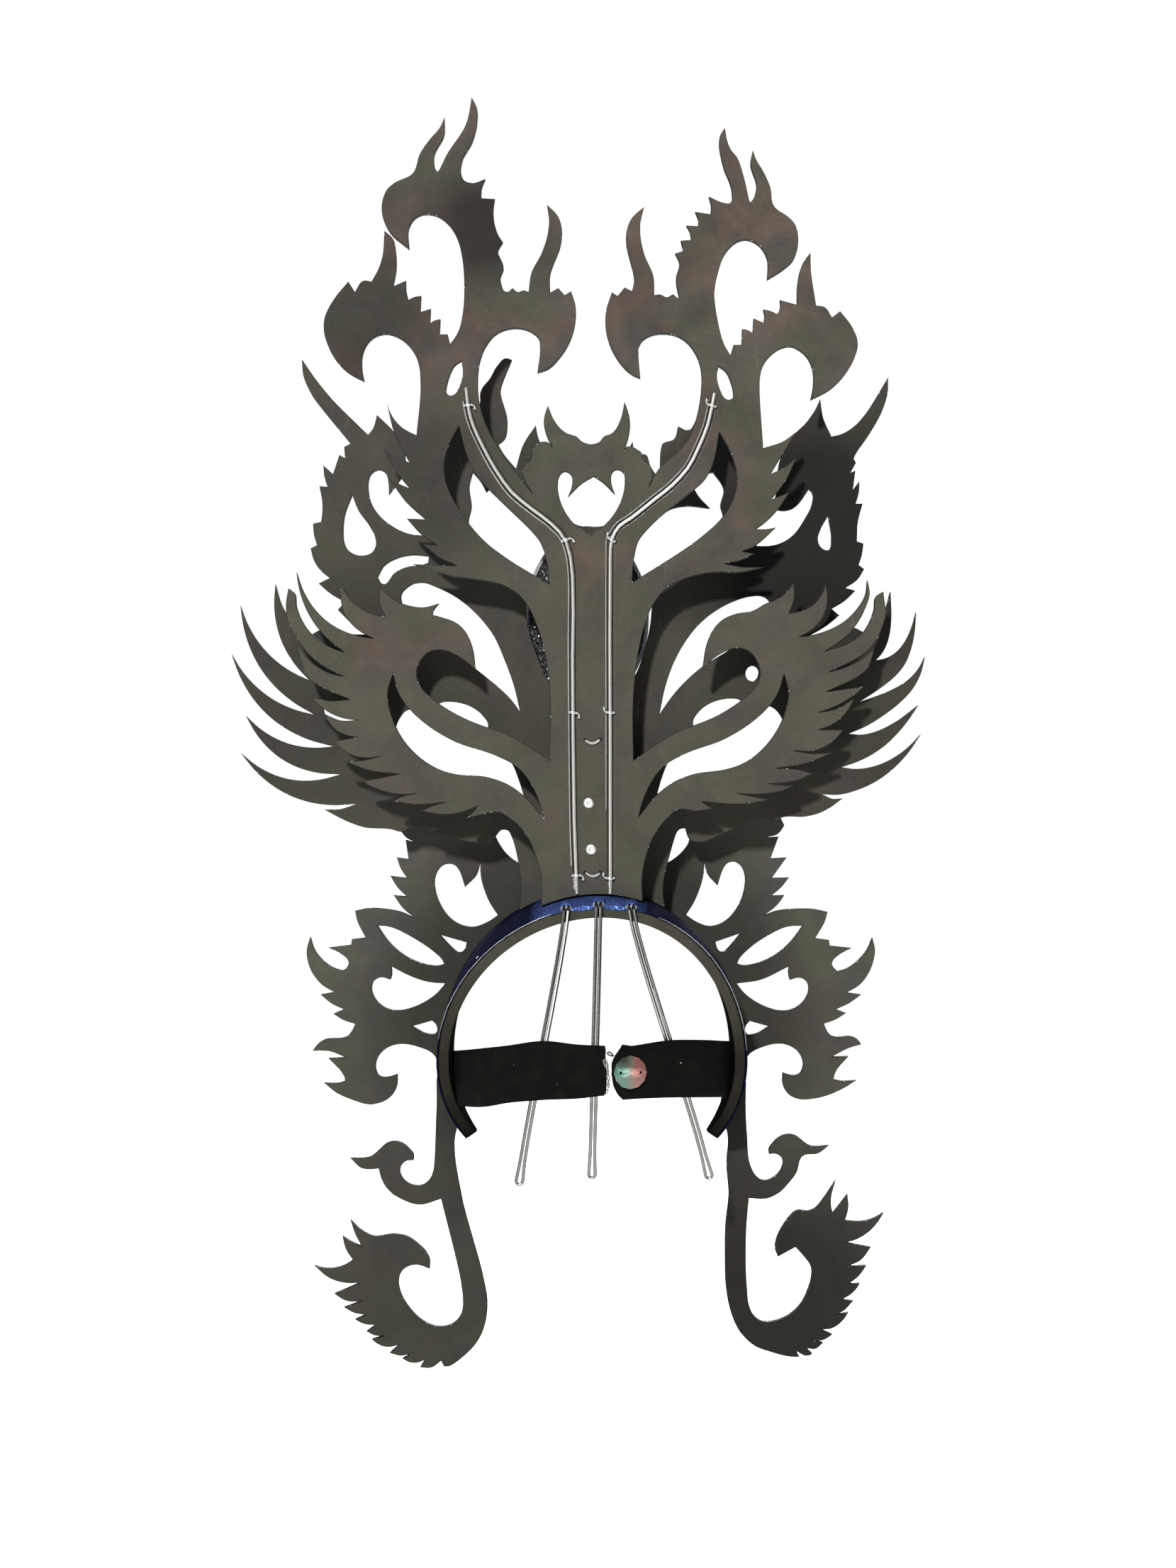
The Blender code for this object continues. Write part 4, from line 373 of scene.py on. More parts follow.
# Each foam's olive, brown and grey
PANEL_TINTS = ((0.066, 0.064, 0.044), (0.088, 0.065, 0.050), (0.060, 0.055, 0.046))
WING_TINTS = ((0.051, 0.049, 0.033), (0.056, 0.047, 0.035), (0.046, 0.043, 0.036))
SIDE_TINTS = ((0.068, 0.067, 0.047), (0.069, 0.062, 0.047), (0.061, 0.059, 0.051))
BAND_TINTS = ((0.062, 0.060, 0.045), (0.060, 0.052, 0.042), (0.052, 0.051, 0.045))

panel_foam = foam_finish("panel foam", *PANEL_TINTS, BACK_PAINTED_SHADE)
wing_foam = foam_finish("wing foam", *WING_TINTS, WING_PAINTED_SHADE)
side_foam = foam_finish("side foam", *SIDE_TINTS, SIDE_PAINTED_SHADE)
band_foam = foam_finish("band foam", *BAND_TINTS, BAND_PAINTED_SHADE, painted_wall_shade=0.9, shine=0.0)
# The cut edge's dark tints are partly painted shade
cut_foam = cut_finish("cut foam", (0.010, 0.0095, 0.008), (0.026, 0.024, 0.019))
front_glitter = glitter_finish("dark blue glitter", (0.004, 0.006, 0.016), (0.10, 0.16, 0.42), 0.0006, 0.22)
black_glitter = glitter_finish("black glitter", (0.002, 0.002, 0.003), (0.90, 0.88, 0.80), 0.0008, 0.035)
blue_cloth = cloth_finish("blue glitter cloth", 0.0005)
bright_steel = steel_finish("bright steel wire", (0.82, 0.81, 0.76), 0.42)
# The prong wire's low edge paints shade on its lower legs and its flanks
prong_steel = steel_finish("prong wire", (0.72, 0.71, 0.67), 0.24, 0.10)
rivet_metal = steel_finish("rivet aluminium", (0.86, 0.86, 0.84), 0.38)
tie_wire = steel_finish("tie wire", (0.88, 0.88, 0.85), 0.38)
woven_elastic = elastic_finish("black elastic")
cloudy_sheet = sheet_finish("cloudy clear sheet")
rod_glue = glue_finish("rod glue", (0.26, 0.26, 0.24), (0.50, 0.50, 0.47))
dull_glue = glue_finish("dull glue", (0.10, 0.09, 0.08), (0.20, 0.18, 0.16))
# Pale grey lavender: a painted highlight on each prong's bend, on cloth pinched round its legs
pinch_highlight_cloth = glue_finish("pinched cloth", (0.16, 0.17, 0.24), (0.36, 0.37, 0.44))
edge_glue = glue_finish("edge glue", (0.14, 0.14, 0.17), (0.42, 0.42, 0.48))
silver_thread = thread_finish("silver thread", (0.34, 0.33, 0.30), (0.86, 0.86, 0.82), 0.35, 0.4)
grey_thread = thread_finish("grey thread", (0.10, 0.10, 0.085), (0.36, 0.36, 0.31), 0.2, 0.5)
black_fibre = thread_finish("black fibre", (0.003, 0.003, 0.003), (0.012, 0.012, 0.011), 0.0, 0.8)
pale_lint = thread_finish("pale lint", (0.55, 0.55, 0.54), (0.85, 0.85, 0.84), 0.0, 0.7)
foot_lumps = thread_finish("foot glue", (0.20, 0.19, 0.17), (0.62, 0.61, 0.58), 0.2, 0.45)
# Near black standing in for shade in pits and beside the rods: painted shade
painted_shade_dark = thread_finish("pit", (0.004, 0.004, 0.003), (0.014, 0.013, 0.011), 0.0, 0.9)
silver_flake = steel_finish("silver flake", (0.90, 0.90, 0.92), 0.16)
blue_flake = steel_finish("blue flake", (0.10, 0.22, 0.80), 0.18)


# Objects and plain shapes


def placed(name, data):
    """A new object in the scene."""
    made = bpy.data.objects.new(name, data)
    bpy.context.scene.collection.objects.link(made)
    return made


def as_mesh(name, shape):
    """The bmesh as a plain mesh. The bmesh is freed."""
    data = bpy.data.meshes.new(name)
    shape.to_mesh(data)
    shape.free()
    return data


def piece(name, mesh, materials, replaces=()):
    """An object from a bmesh or a mesh, riding on the crown."""
    data = as_mesh(name, mesh) if isinstance(mesh, bmesh.types.BMesh) else mesh
    for material in materials:
        data.materials.append(material)
    made = placed(name, data)
    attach(made, "root")
    if replaces:
        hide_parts(*replaces)
    return made


def facing_out(mesh):
    """The bmesh with its faces all turned one way, which is outwards where it is closed."""
    bmesh.ops.recalc_face_normals(mesh, faces=mesh.faces)
    return mesh


def turns(count):
    """Equally spaced angles round a circle."""
    return [tau * step / count for step in range(count)]


def joined(mesh, rings, capped=True, material=0):
    """Adds the surface through closed rings of equally many corners."""
    count = len(rings[0])
    for ring, following in zip(rings, rings[1:]):
        for step in range(count):
            other = (step + 1) % count
            face = mesh.faces.new((ring[step], ring[other], following[other], following[step]))
            face.smooth = True
            face.material_index = material
    if capped:
        for cap in (rings[0][::-1], rings[-1]):
            mesh.faces.new(cap).material_index = material


def skinned(mesh, rings):
    """Adds a closed surface through rings of points, and gives the rings of its corners."""
    made = [[mesh.verts.new(point) for point in ring] for ring in rings]
    joined(mesh, made)
    return made


def shell(rings):
    """A closed shape through rings of points."""
    mesh = bmesh.new()
    skinned(mesh, rings)
    return facing_out(mesh)


def wire(mesh, path, radius, sides=8, looped=False, material=0):
    """Adds a round wire along the path. The radius may be given point by point."""
    path = [Vector(point) for point in path]
    count = len(path)
    radii = radius if isinstance(radius, list) else [radius] * count
    rings = []
    side = None
    for index, point in enumerate(path):
        before = path[index - 1] if index or looped else point
        after = path[(index + 1) % count] if index + 1 < count or looped else point
        heading = (after - before).normalized()
        side = heading.orthogonal() if side is None else side
        side = (side - heading * side.dot(heading)).normalized()
        up = heading.cross(side)
        rings.append([mesh.verts.new(point + (side * cos(a) + up * sin(a)) * radii[index])
                      for a in turns(sides)])
    if looped:
        first = rings[0]
        near = min(range(sides), key=lambda shift: (rings[-1][shift].co - first[0].co).length)
        rings.append([first[(step - near) % sides] for step in range(sides)])
    joined(mesh, rings, not looped, material)


def wires(paths, radius, sides=8, looped=False):
    """A shape made of wires of one thickness."""
    mesh = bmesh.new()
    for path in paths:
        wire(mesh, path, radius, sides, looped)
    return facing_out(mesh)


# The sawn foam panels


def outlines_of(node):
    """The closed outlines of a flat node's back face, each an array of x and z, with the foam on one side."""
    mesh = bmesh.new()
    mesh.from_mesh(nodes[node].data)
    bmesh.ops.remove_doubles(mesh, verts=mesh.verts, dist=1e-5)
    mesh.verts.index_update()
    back = {face for face in mesh.faces if face.normal.y > 0.9}
    following = {}
    for face in back:
        for loop in face.loops:
            if loop.link_loop_radial_next.face not in back:
                following[loop.vert.index] = loop.link_loop_next.vert.index
    places = {vertex.index: (vertex.co.x, vertex.co.z) for vertex in mesh.verts}
    mesh.free()
    outlines = []
    while following:
        start, step = following.popitem()
        outline = [start]
        while step != start:
            outline.append(step)
            step = following.pop(step)
        outlines.append(np.array([places[index] for index in outline]))
    return outlines


def eased(outline):
    """The outline with its gentle turns rounded through the same points, and its corners kept."""
    after = np.roll(outline, -1, 0) - outline
    length = np.linalg.norm(after, axis=1)
    way = after / length[:, None]
    before_way, before_length = np.roll(way, 1, 0), np.roll(length, 1)
    turn = np.arccos(np.clip((way * before_way).sum(1), -1, 1))
    corner = turn > CORNER_ANGLE
    tangent = before_way * length[:, None] + way * before_length[:, None]
    tangent /= np.linalg.norm(tangent, axis=1)[:, None]
    reach = np.minimum(length, 3 * np.minimum(before_length, np.roll(length, -1)))
    made = []
    for one in range(len(outline)):
        other = (one + 1) % len(outline)
        start = way[one] if corner[one] else tangent[one]
        end = way[one] if corner[other] else tangent[other]
        steps = max(1, round(length[one] / OUTLINE_STEP))
        for share in np.arange(steps) / steps:
            square, cube = share**2, share**3
            made.append(
                (2 * cube - 3 * square + 1) * outline[one]
                + (cube - 2 * square + share) * start * reach[one]
                + (3 * square - 2 * cube) * outline[other]
                + (cube - square) * end * reach[one]
            )
    return np.array(made)


def inward(outline):
    """The way into the foam at each point, and how much further it goes at a corner, no more than twice."""
    after = np.roll(outline, -1, 0) - outline
    way = after / np.linalg.norm(after, axis=1)[:, None]
    normal = np.stack((way[:, 1], -way[:, 0]), 1)
    both = normal + np.roll(normal, 1, 0)
    both /= np.maximum(np.linalg.norm(both, axis=1), 1e-6)[:, None]
    stretch = 1 / np.clip((both * normal).sum(1), 0.5, 1)
    return both, stretch


def foam_across(points, ways, outlines):
    """How far the foam goes from each point along its inward way."""
    starts = np.concatenate(outlines)
    spans = np.concatenate([np.roll(outline, -1, 0) - outline for outline in outlines])
    found = []
    for block in range(0, len(points), 400):
        point, way = points[block : block + 400, None], ways[block : block + 400, None]
        offset = starts[None] - point
        cross = way[..., 0] * spans[None, :, 1] - way[..., 1] * spans[None, :, 0]
        cross = np.where(np.abs(cross) < 1e-15, 1e-15, cross)
        along = (offset[..., 0] * spans[None, :, 1] - offset[..., 1] * spans[None, :, 0]) / cross
        share = (offset[..., 0] * way[..., 1] - offset[..., 1] * way[..., 0]) / cross
        hit = (along > 1e-6) & (share >= 0) & (share <= 1)
        found.append(np.where(hit, along, 1.0).min(1))
    return np.concatenate(found)


def inside(points, outlines):
    """Which points lie in the foam, by counting the outline edges below each."""
    starts = np.concatenate(outlines)
    ends = np.concatenate([np.roll(outline, -1, 0) for outline in outlines])
    run = ends[:, 0] - starts[:, 0]
    slope = (ends[:, 1] - starts[:, 1]) / np.where(np.abs(run) < 1e-15, 1e-15, run)
    found = []
    for block in range(0, len(points), 400):
        x, z = points[block : block + 400, None, 0], points[block : block + 400, None, 1]
        across = (starts[None, :, 0] > x) != (ends[None, :, 0] > x)
        height = starts[None, :, 1] + (x - starts[None, :, 0]) * slope[None]
        found.append((across & (height < z)).sum(1) % 2 == 1)
    return np.concatenate(found)


def sawn_panel(node, name, materials):
    """A sheet sawn to the node's outline, with softened edges. Its materials are back, cut edge and front."""
    low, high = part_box(node)
    outlines = [eased(outline) for outline in outlines_of(node)]
    ways = [inward(outline) for outline in outlines]
    points = np.concatenate(outlines)
    normals = np.concatenate([way for way, _ in ways])
    stretch = np.concatenate([longer for _, longer in ways])
    rounding = np.minimum(CUT_ROUNDING, 0.3 * foam_across(points, normals, outlines))
    inset = points + normals * (rounding * stretch)[:, None]

    mesh = bmesh.new()
    rings = []
    for face_y, towards in ((high.y, -1), (low.y, 1)):
        levels = []
        for share_in, share_deep in EDGE_PROFILE:
            flat = points + (inset - points) * share_in
            levels.append([mesh.verts.new((x, face_y + towards * deep * share_deep, z))
                           for (x, z), deep in zip(flat, rounding)])
        rings += levels if towards < 0 else levels[::-1]
    first = 0
    edges = []
    for outline in outlines:
        following = first + len(outline)
        joined(mesh, [ring[first:following] for ring in rings[::-1]], capped=False, material=1)
        edges += [(index, index + 1) for index in range(first, following - 1)] + [(following - 1, first)]
        first = following
    flat = [Vector(point) for point in inset]
    places, _, triangles, origins, _, _ = geometry.delaunay_2d_cdt(flat, edges, [], 0, 1e-9)
    middles = np.array([sum((places[index] for index in each), Vector((0, 0))) / 3 for each in triangles])
    kept = inside(middles, np.split(inset, np.cumsum([len(outline) for outline in outlines])[:-1]))
    for triangle, keep in zip(triangles, kept):
        if keep and all(origins[index] for index in triangle):
            a, b, c = (origins[index][0] for index in triangle)
            for ring, corners, material in ((rings[0], (a, c, b), 0), (rings[-1], (a, b, c), 2)):
                mesh.faces.new([ring[index] for index in corners]).material_index = material
    for edge in mesh.edges:
        if len(edge.link_faces) == 2:
            one, other = edge.link_faces
            edge.smooth = one.material_index == other.material_index and edge.calc_face_angle(0) < SHARP_EDGE
    piece(name, mesh, materials, (node,))


sawn_panel("back_panel", "back_foam", (panel_foam, cut_foam, front_glitter))
sawn_panel("wing_panel", "wing_foam", (wing_foam, cut_foam, front_glitter))
sawn_panel("side_panel", "side_foam", (side_foam, cut_foam, front_glitter))
sawn_panel("panel_spacer", "spacer_foam", (panel_foam, cut_foam, panel_foam))
sawn_panel("centre_medallion", "medallion_face", (black_glitter, cut_foam, front_glitter))
sawn_panel("medallion_backing", "medallion_sheet", (cloudy_sheet,) * 3)


# What repeats: copies on points, and flakes scattered over a surface


class Growth(Nodes):
    """A Geometry Nodes tree with named inputs that gives plain copies."""

    def __init__(self, name, **inputs):
        super().__init__(bpy.data.node_groups.new(name, "GeometryNodeTree"))
        sockets = self.tree.interface
        for socket, kind in inputs.items():
            sockets.new_socket(socket.replace("_", " "), in_out="INPUT", socket_type=f"NodeSocket{kind}")
        sockets.new_socket("Pieces", in_out="OUTPUT", socket_type="NodeSocketGeometry")
        self.given = self.node("NodeGroupInput").outputs

    def random_lean(self, most):
        """A random turn about each axis, up to the most either way."""
        inputs = {"Min": self.times(most, -1.0), "Max": most, "Seed": self.given["Seed"]}
        return self.node("FunctionNodeRandomValue", inputs, data_type="FLOAT_VECTOR").outputs["Value"]

    def value(self, name, kind):
        """A value that each point carries."""
        named = self.node("GeometryNodeInputNamedAttribute", {"Name": name}, data_type=kind)
        return named.outputs["Attribute"]

    def rotation(self, angles):
        return self.node("FunctionNodeEulerToRotation", {"Euler": angles}).outputs["Rotation"]

    def copies(self, **inputs):
        return self.node("GeometryNodeInstanceOnPoints", inputs).outputs["Instances"]

    def ended(self, copies):
        """The tree, with the copies made plain and given their finish."""
        plain = self.node("GeometryNodeRealizeInstances", {"Geometry": copies}).outputs["Geometry"]
        dressed = self.node("GeometryNodeSetMaterial", {"Geometry": plain, "Material": self.given["Finish"]})
        self.join(dressed.outputs["Geometry"], self.node("NodeGroupOutput").inputs["Pieces"])
        return self.tree


def copies_tree():
    """Sets the pattern on every point, turned and sized by the points' own values with a little spread."""
    tree = Growth("copies on points", Points="Geometry", Pattern="Object", Finish="Material",
                  Lean_Spread="Float", Size_Spread="Float", Seed="Int")
    given = tree.given
    pattern = tree.node("GeometryNodeObjectInfo", {"Object": given["Pattern"]}).outputs["Geometry"]
    leant = tree.vector("ADD", tree.value("turn", "FLOAT_VECTOR"), tree.random_lean(given["Lean Spread"]))[0]
    chance = tree.node("FunctionNodeRandomValue", data_type="FLOAT")
    most = given["Size Spread"]
    for value, socket in ((tree.times(most, -1.0), 2), (most, 3), (given["Seed"], 8)):
        tree.join(value, chance.inputs[socket])
    scale = tree.times(tree.value("size", "FLOAT"), tree.plus(chance.outputs[1], 1.0))
    return tree.ended(tree.copies(Points=given["Points"], Instance=pattern, Rotation=tree.rotation(leant),
                                  Scale=scale))


def flakes_tree():
    """Scatters six-sided flakes over a surface, each lifted off it and tilted a little."""
    tree = Growth("scattered flakes", Surface="Geometry", Finish="Material", Density="Float",
                  Flake_Radius="Float", Lift="Float", Tilt="Float", Seed="Int")
    given = tree.given
    spots = tree.node("GeometryNodeDistributePointsOnFaces",
                      {"Mesh": given["Surface"], "Density": given["Density"], "Seed": given["Seed"]}).outputs
    outline = {"Vertices": 6, "Radius": given["Flake Radius"]}
    flake = tree.node("GeometryNodeMeshCircle", outline, fill_type="NGON").outputs["Mesh"]
    lean = {"Rotation": spots["Rotation"], "Rotate By": tree.rotation(tree.random_lean(given["Tilt"]))}
    leant = tree.node("FunctionNodeRotateRotation", lean, rotation_space="LOCAL").outputs["Rotation"]
    flakes = tree.copies(Points=spots["Points"], Instance=flake, Rotation=leant)
    off = tree.node("ShaderNodeCombineXYZ", {"Z": given["Lift"]}).outputs[0]
    lifted = tree.node("GeometryNodeTranslateInstances", {"Instances": flakes, "Translation": off})
    return tree.ended(lifted.outputs["Instances"])


COPIES = copies_tree()
FLAKES = flakes_tree()


def grown(tree, base, **inputs):
    """The plain mesh that the tree makes from the base mesh. Inputs are named with _ for a space."""
    holder = placed("grown", base)
    growth = holder.modifiers.new("growth", "NODES")
    growth.node_group = tree
    for item in tree.interface.items_tree:
        value = inputs.get(item.name.replace(" ", "_"))
        if item.in_out == "INPUT" and value is not None:
            growth[item.identifier] = value
    made = bpy.data.meshes.new_from_object(holder.evaluated_get(bpy.context.evaluated_depsgraph_get()))
    bpy.data.objects.remove(holder)
    made.materials.clear()
    made.materials.append(inputs["Finish"])
    made.polygons.foreach_set("material_index", [0] * len(made.polygons))
    return made


def copied(name, pattern, spots, material, lean=0.0, size=0.0, seed=1, replaces=()):
    """Copies of the pattern, a bmesh, on the spots, each a place with a turn and a size."""
    for face in pattern.faces:
        face.smooth = True
    sample = placed(f"{name} pattern", as_mesh(f"{name} pattern", pattern))
    points = bpy.data.meshes.new(f"{name} points")
    points.from_pydata([place for place, _, _ in spots], [], [])
    angles = points.attributes.new("turn", "FLOAT_VECTOR", "POINT")
    angles.data.foreach_set("vector", [angle for _, turn, _ in spots for angle in turn])
    sizes = points.attributes.new("size", "FLOAT", "POINT")
    sizes.data.foreach_set("value", [share for _, _, share in spots])
    mesh = grown(COPIES, points, Pattern=sample, Finish=material, Lean_Spread=lean, Size_Spread=size,
                 Seed=seed)
    bpy.data.objects.remove(sample)
    piece(name, mesh, (), replaces)


def scattered(name, surface, material, density, radius, lift, tilt, seed):
    """Loose flakes of glitter over a surface mesh."""
    mesh = grown(FLAKES, surface, Finish=material, Density=density, Flake_Radius=radius, Lift=lift, Tilt=tilt,
                 Seed=seed)
    piece(name, mesh, ())


# The crown's own lines, repeated from its CAD source

ARCH_INNER_RADIUS = 0.0882
ARCH_FOAM = 0.0067
COVER_CLOTH = 0.0009
SEAT_GAP = 0.0003
ARCH_FRONT_Y = -0.0347
ARCH_BACK_Y = 0.035
ARCH_FRONT_RISE = 0.0083
ARCH_BACK_LEAN = 0.0062
ARCH_END_ANGLE = radians(34)
ARCH_END_SWEEP = 0.052
ARCH_CENTRE_Z = -ARCH_INNER_RADIUS - ARCH_FRONT_RISE
COVER_OFFSET = ARCH_FOAM + SEAT_GAP + COVER_CLOTH
ROD_RADIUS = 0.0011
PRONG_WIRE_RADIUS = 0.0011
PRONG_PITCH = 0.0026
PRONG_TOPS = (0.18, -0.046, -0.277)
# The prong's hook: back of the arch's edge, and up from the wire's seat
HOOK_LINE = ((-0.007, 0.0026), (-0.002, 0.0016), (0.0026, -0.0024))
STRAP_WIDTH = 0.031
STRAP_CLOTH = 0.0016
STRAP_END_Y = 0.018
STRAP_BULGE = 0.050
STRAP_BOW = (2.2, 0.8)
RIVET_SPOTS = ((0.4, 11.7), (0.1, 5.9))
BACK_UNIT = 0.497 / 99.8
rivet_low, rivet_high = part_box("rivet_lower")
FOOT_Z = (rivet_low.z + rivet_high.z) / 2 - RIVET_SPOTS[1][1] * BACK_UNIT


def arch_point(angle, y, offset):
    """A point of the arch, offset outwards from its inner face."""
    share = (y - ARCH_FRONT_Y) / (ARCH_BACK_Y - ARCH_FRONT_Y)
    high = max(sin(angle), 0.0) ** 2
    radius = ARCH_INNER_RADIUS + offset + ARCH_FRONT_RISE * high * (1 - max(share, 0.0) ** 4)
    return Vector((radius * cos(angle) - ARCH_BACK_LEAN * high * share, y,
                   ARCH_CENTRE_Z + radius * sin(angle)))


def arch_back_y(angle):
    """The arch's back edge, which sweeps forward at both low ends."""
    low = min(max(-sin(angle) / sin(ARCH_END_ANGLE), 0.0), 1.0)
    return ARCH_BACK_Y - ARCH_END_SWEEP * low**2


def last_true(low, high, holds):
    """The value between low and high up to which a test holds."""
    for _ in range(40):
        middle = (low + high) / 2
        low, high = (middle, high) if holds(middle) else (low, middle)
    return low


def cover_angle(x):
    """The angle at which the cloth's upper back edge passes x."""
    return last_true(0.0, pi, lambda angle: arch_point(angle, ARCH_BACK_Y, COVER_OFFSET).x > x)


PRONG_ANGLES = [cover_angle(top * ARCH_INNER_RADIUS) for top in PRONG_TOPS]


def on_back(out, up, lift=0.0):
    """A place on the back panel's back face, in its drawing's units."""
    return Vector((out * BACK_UNIT, PANEL_BACK_Y + lift, FOOT_Z + up * BACK_UNIT))


def along(points, steps):
    """A smooth line through the points."""
    points = [Vector(point) for point in points]
    padded = [2 * points[0] - points[1], *points, 2 * points[-1] - points[-2]]
    drawn = []
    for before, start, end, after in zip(padded, padded[1:], padded[2:], padded[3:]):
        for step in range(steps):
            share = step / steps
            bend = (2 * before - 5 * start + 4 * end - after) * share**2
            bend += (3 * (start - end) + after - before) * share**3
            drawn.append(start + ((end - before) * share + bend) / 2)
    drawn.append(points[-1])
    return drawn


# The padded arch and its glitter cloth

ARCH_STEPS = 150
BAND_ROUNDING = 0.0013
CLOTH_ROUNDING = 0.0004
# How far the cloth droops over the foam's back edge at a prong and between two
SCALLOP = (0.0002, 0.0016)
# How far round the arch the drooping lip goes on past the outer prongs
SCALLOP_REACH = 0.10
LIP_LEAST = 0.0004
LIP_SINK = 0.0001
LIP_OVERLAP = 0.0003
LIP_CLOTH = 0.0007
LIP_ROUNDING = 0.00018
CLOTH_PUFF = 0.0010
PUFF_START_Y = 0.022
PUFF_RUN = 0.008
# How far across the arch's top the loose flakes lie
FLAKES_SPAN = (-0.026, 0.030)
# Where round the arch the cloth's edge shows its glue, and the bead's radius
GLUE_ARCS = ((radians(8), radians(74)), (radians(112), radians(176)))
GLUE_STEPS = 90
GLUE_RADIUS = 0.00034


def wall_outline(front, back, inner, outer, rounding, steps):
    """Depth and offset round a wall's section: its front, its outside, its back and its inside."""
    arc = [radians(turn) for turn in (0, 30, 60, 90)]
    bend = [(rounding * (1 - sin(a)), rounding * (1 - cos(a))) for a in arc]
    corners = (
        [(front + one, outer - other) for one, other in bend[::-1]],
        [(back - one, outer - other) for one, other in bend],
        [(back - other, inner + one) for one, other in bend],
        [(front + one, inner + other) for one, other in bend],
    )
    outline = []
    for corner, following in zip(corners, corners[1:] + corners[:1]):
        outline += corner
        (depth, offset), end = corner[-1], following[0]
        run, rise = end[0] - depth, end[1] - offset
        pieces = steps if abs(run) > abs(rise) else 1
        outline += [(depth + run * step / pieces, offset + rise * step / pieces) for step in range(1, pieces)]
    return outline


def arch_angles(start=-ARCH_END_ANGLE, end=pi + ARCH_END_ANGLE, steps=ARCH_STEPS):
    return [start + (end - start) * step / steps for step in range(steps + 1)]


def arch_wall(mesh, inner, outer, rounding, steps, puff=lambda angle, y: 0):
    """A wall round the whole arch. The puff gives how far a point stands proud."""
    rings = []
    for angle in arch_angles():
        outline = wall_outline(ARCH_FRONT_Y, arch_back_y(angle), inner, outer, rounding, steps)
        rings.append([arch_point(angle, y, offset + puff(angle, y)) for y, offset in outline])
    skinned(mesh, rings)


def scallop(angle):
    """The cloth's share of droop over the foam's back edge: 0 at each prong and 1 between two."""
    for one, other in zip(PRONG_ANGLES, PRONG_ANGLES[1:]):
        if one <= angle <= other:
            return sin(pi * (angle - one) / (other - one))
    return 0.0


def cloth_puff(angle, y):
    """How far the cloth stands proud between the prongs, near its back edge."""
    near_back = min(max((y - PUFF_START_Y) / PUFF_RUN, 0.0), 1.0)
    return CLOTH_PUFF * scallop(angle) * near_back


def band_pieces():
    """The arch's foam, and the cloth with its scalloped lip over the foam's back edge."""
    foam = bmesh.new()
    arch_wall(foam, 0, ARCH_FOAM, BAND_ROUNDING, steps=10)
    band = piece("arch_foam", facing_out(foam), (band_foam,), ("head_band",))

    cloth = bmesh.new()
    arch_wall(cloth, ARCH_FOAM + SEAT_GAP, COVER_OFFSET, CLOTH_ROUNDING, steps=16, puff=cloth_puff)
    first, last = PRONG_ANGLES[0] - SCALLOP_REACH, PRONG_ANGLES[-1] + SCALLOP_REACH
    rings = []
    for angle in arch_angles(first, last, 60):
        ends = min(angle - first, last - angle, SCALLOP_REACH) / SCALLOP_REACH
        droop = (SCALLOP[0] + (SCALLOP[1] - SCALLOP[0]) * scallop(angle)) * ends + LIP_LEAST
        top = COVER_OFFSET + cloth_puff(angle, ARCH_BACK_Y) - LIP_SINK
        outline = wall_outline(ARCH_BACK_Y - LIP_OVERLAP, ARCH_BACK_Y + LIP_CLOTH, COVER_OFFSET - droop, top,
                               LIP_ROUNDING, 1)
        rings.append([arch_point(angle, y, offset) for y, offset in outline])
    skinned(cloth, rings)
    cover = piece("band_cloth", facing_out(cloth), (blue_cloth,), ("band_cover",))


def cloth_outside(start, end):
    """The cloth's outer face between two angles, as a mesh to scatter flakes on."""
    mesh = bmesh.new()
    rows = []
    for angle in arch_angles(start, end, 60):
        depths = [ARCH_FRONT_Y + (arch_back_y(angle) - ARCH_FRONT_Y) * step / 8 for step in range(9)]
        points = [arch_point(angle, y, COVER_OFFSET + cloth_puff(angle, y)) for y in depths]
        rows.append([mesh.verts.new(point) for point in points])
    for row, following in zip(rows, rows[1:]):
        for step in range(8):
            mesh.faces.new((row[step], row[step + 1], following[step + 1], following[step]))
    facing_out(mesh)
    middle = Vector((0, 0, ARCH_CENTRE_Z))
    if sum((face.calc_center_median() - middle).dot(face.normal) for face in mesh.faces) < 0:
        bmesh.ops.reverse_faces(mesh, faces=mesh.faces)
    return as_mesh("cloth outside", mesh)


def edge_glue_line():
    """The thin pale line of dried glue where the cloth ends on the foam's back edge."""
    chance = random.Random(11)
    mesh = bmesh.new()
    for start, end in GLUE_ARCS:
        path = []
        for angle in arch_angles(start, end, GLUE_STEPS):
            offset = COVER_OFFSET - 0.0003 + chance.uniform(-1, 1) * 0.00012
            path.append(arch_point(angle, arch_back_y(angle) + 0.0001, offset))
        radii = []
        for step in range(GLUE_STEPS + 1):
            fade = 0.35 + 0.65 * min(1, 8 * min(step, GLUE_STEPS - step) / GLUE_STEPS)
            radii.append(GLUE_RADIUS * fade * chance.uniform(0.75, 1.2))
        wire(mesh, path, radii, 7)
    piece("edge_glue", facing_out(mesh), (edge_glue,))


band_pieces()
scattered("cloth_flakes", cloth_outside(cover_angle(FLAKES_SPAN[1]), cover_angle(FLAKES_SPAN[0])), blue_flake,
          density=80000, radius=0.00030, lift=0.00012, tilt=0.5, seed=3)
edge_glue_line()


# Wires, their ties, the stitches and the rivets

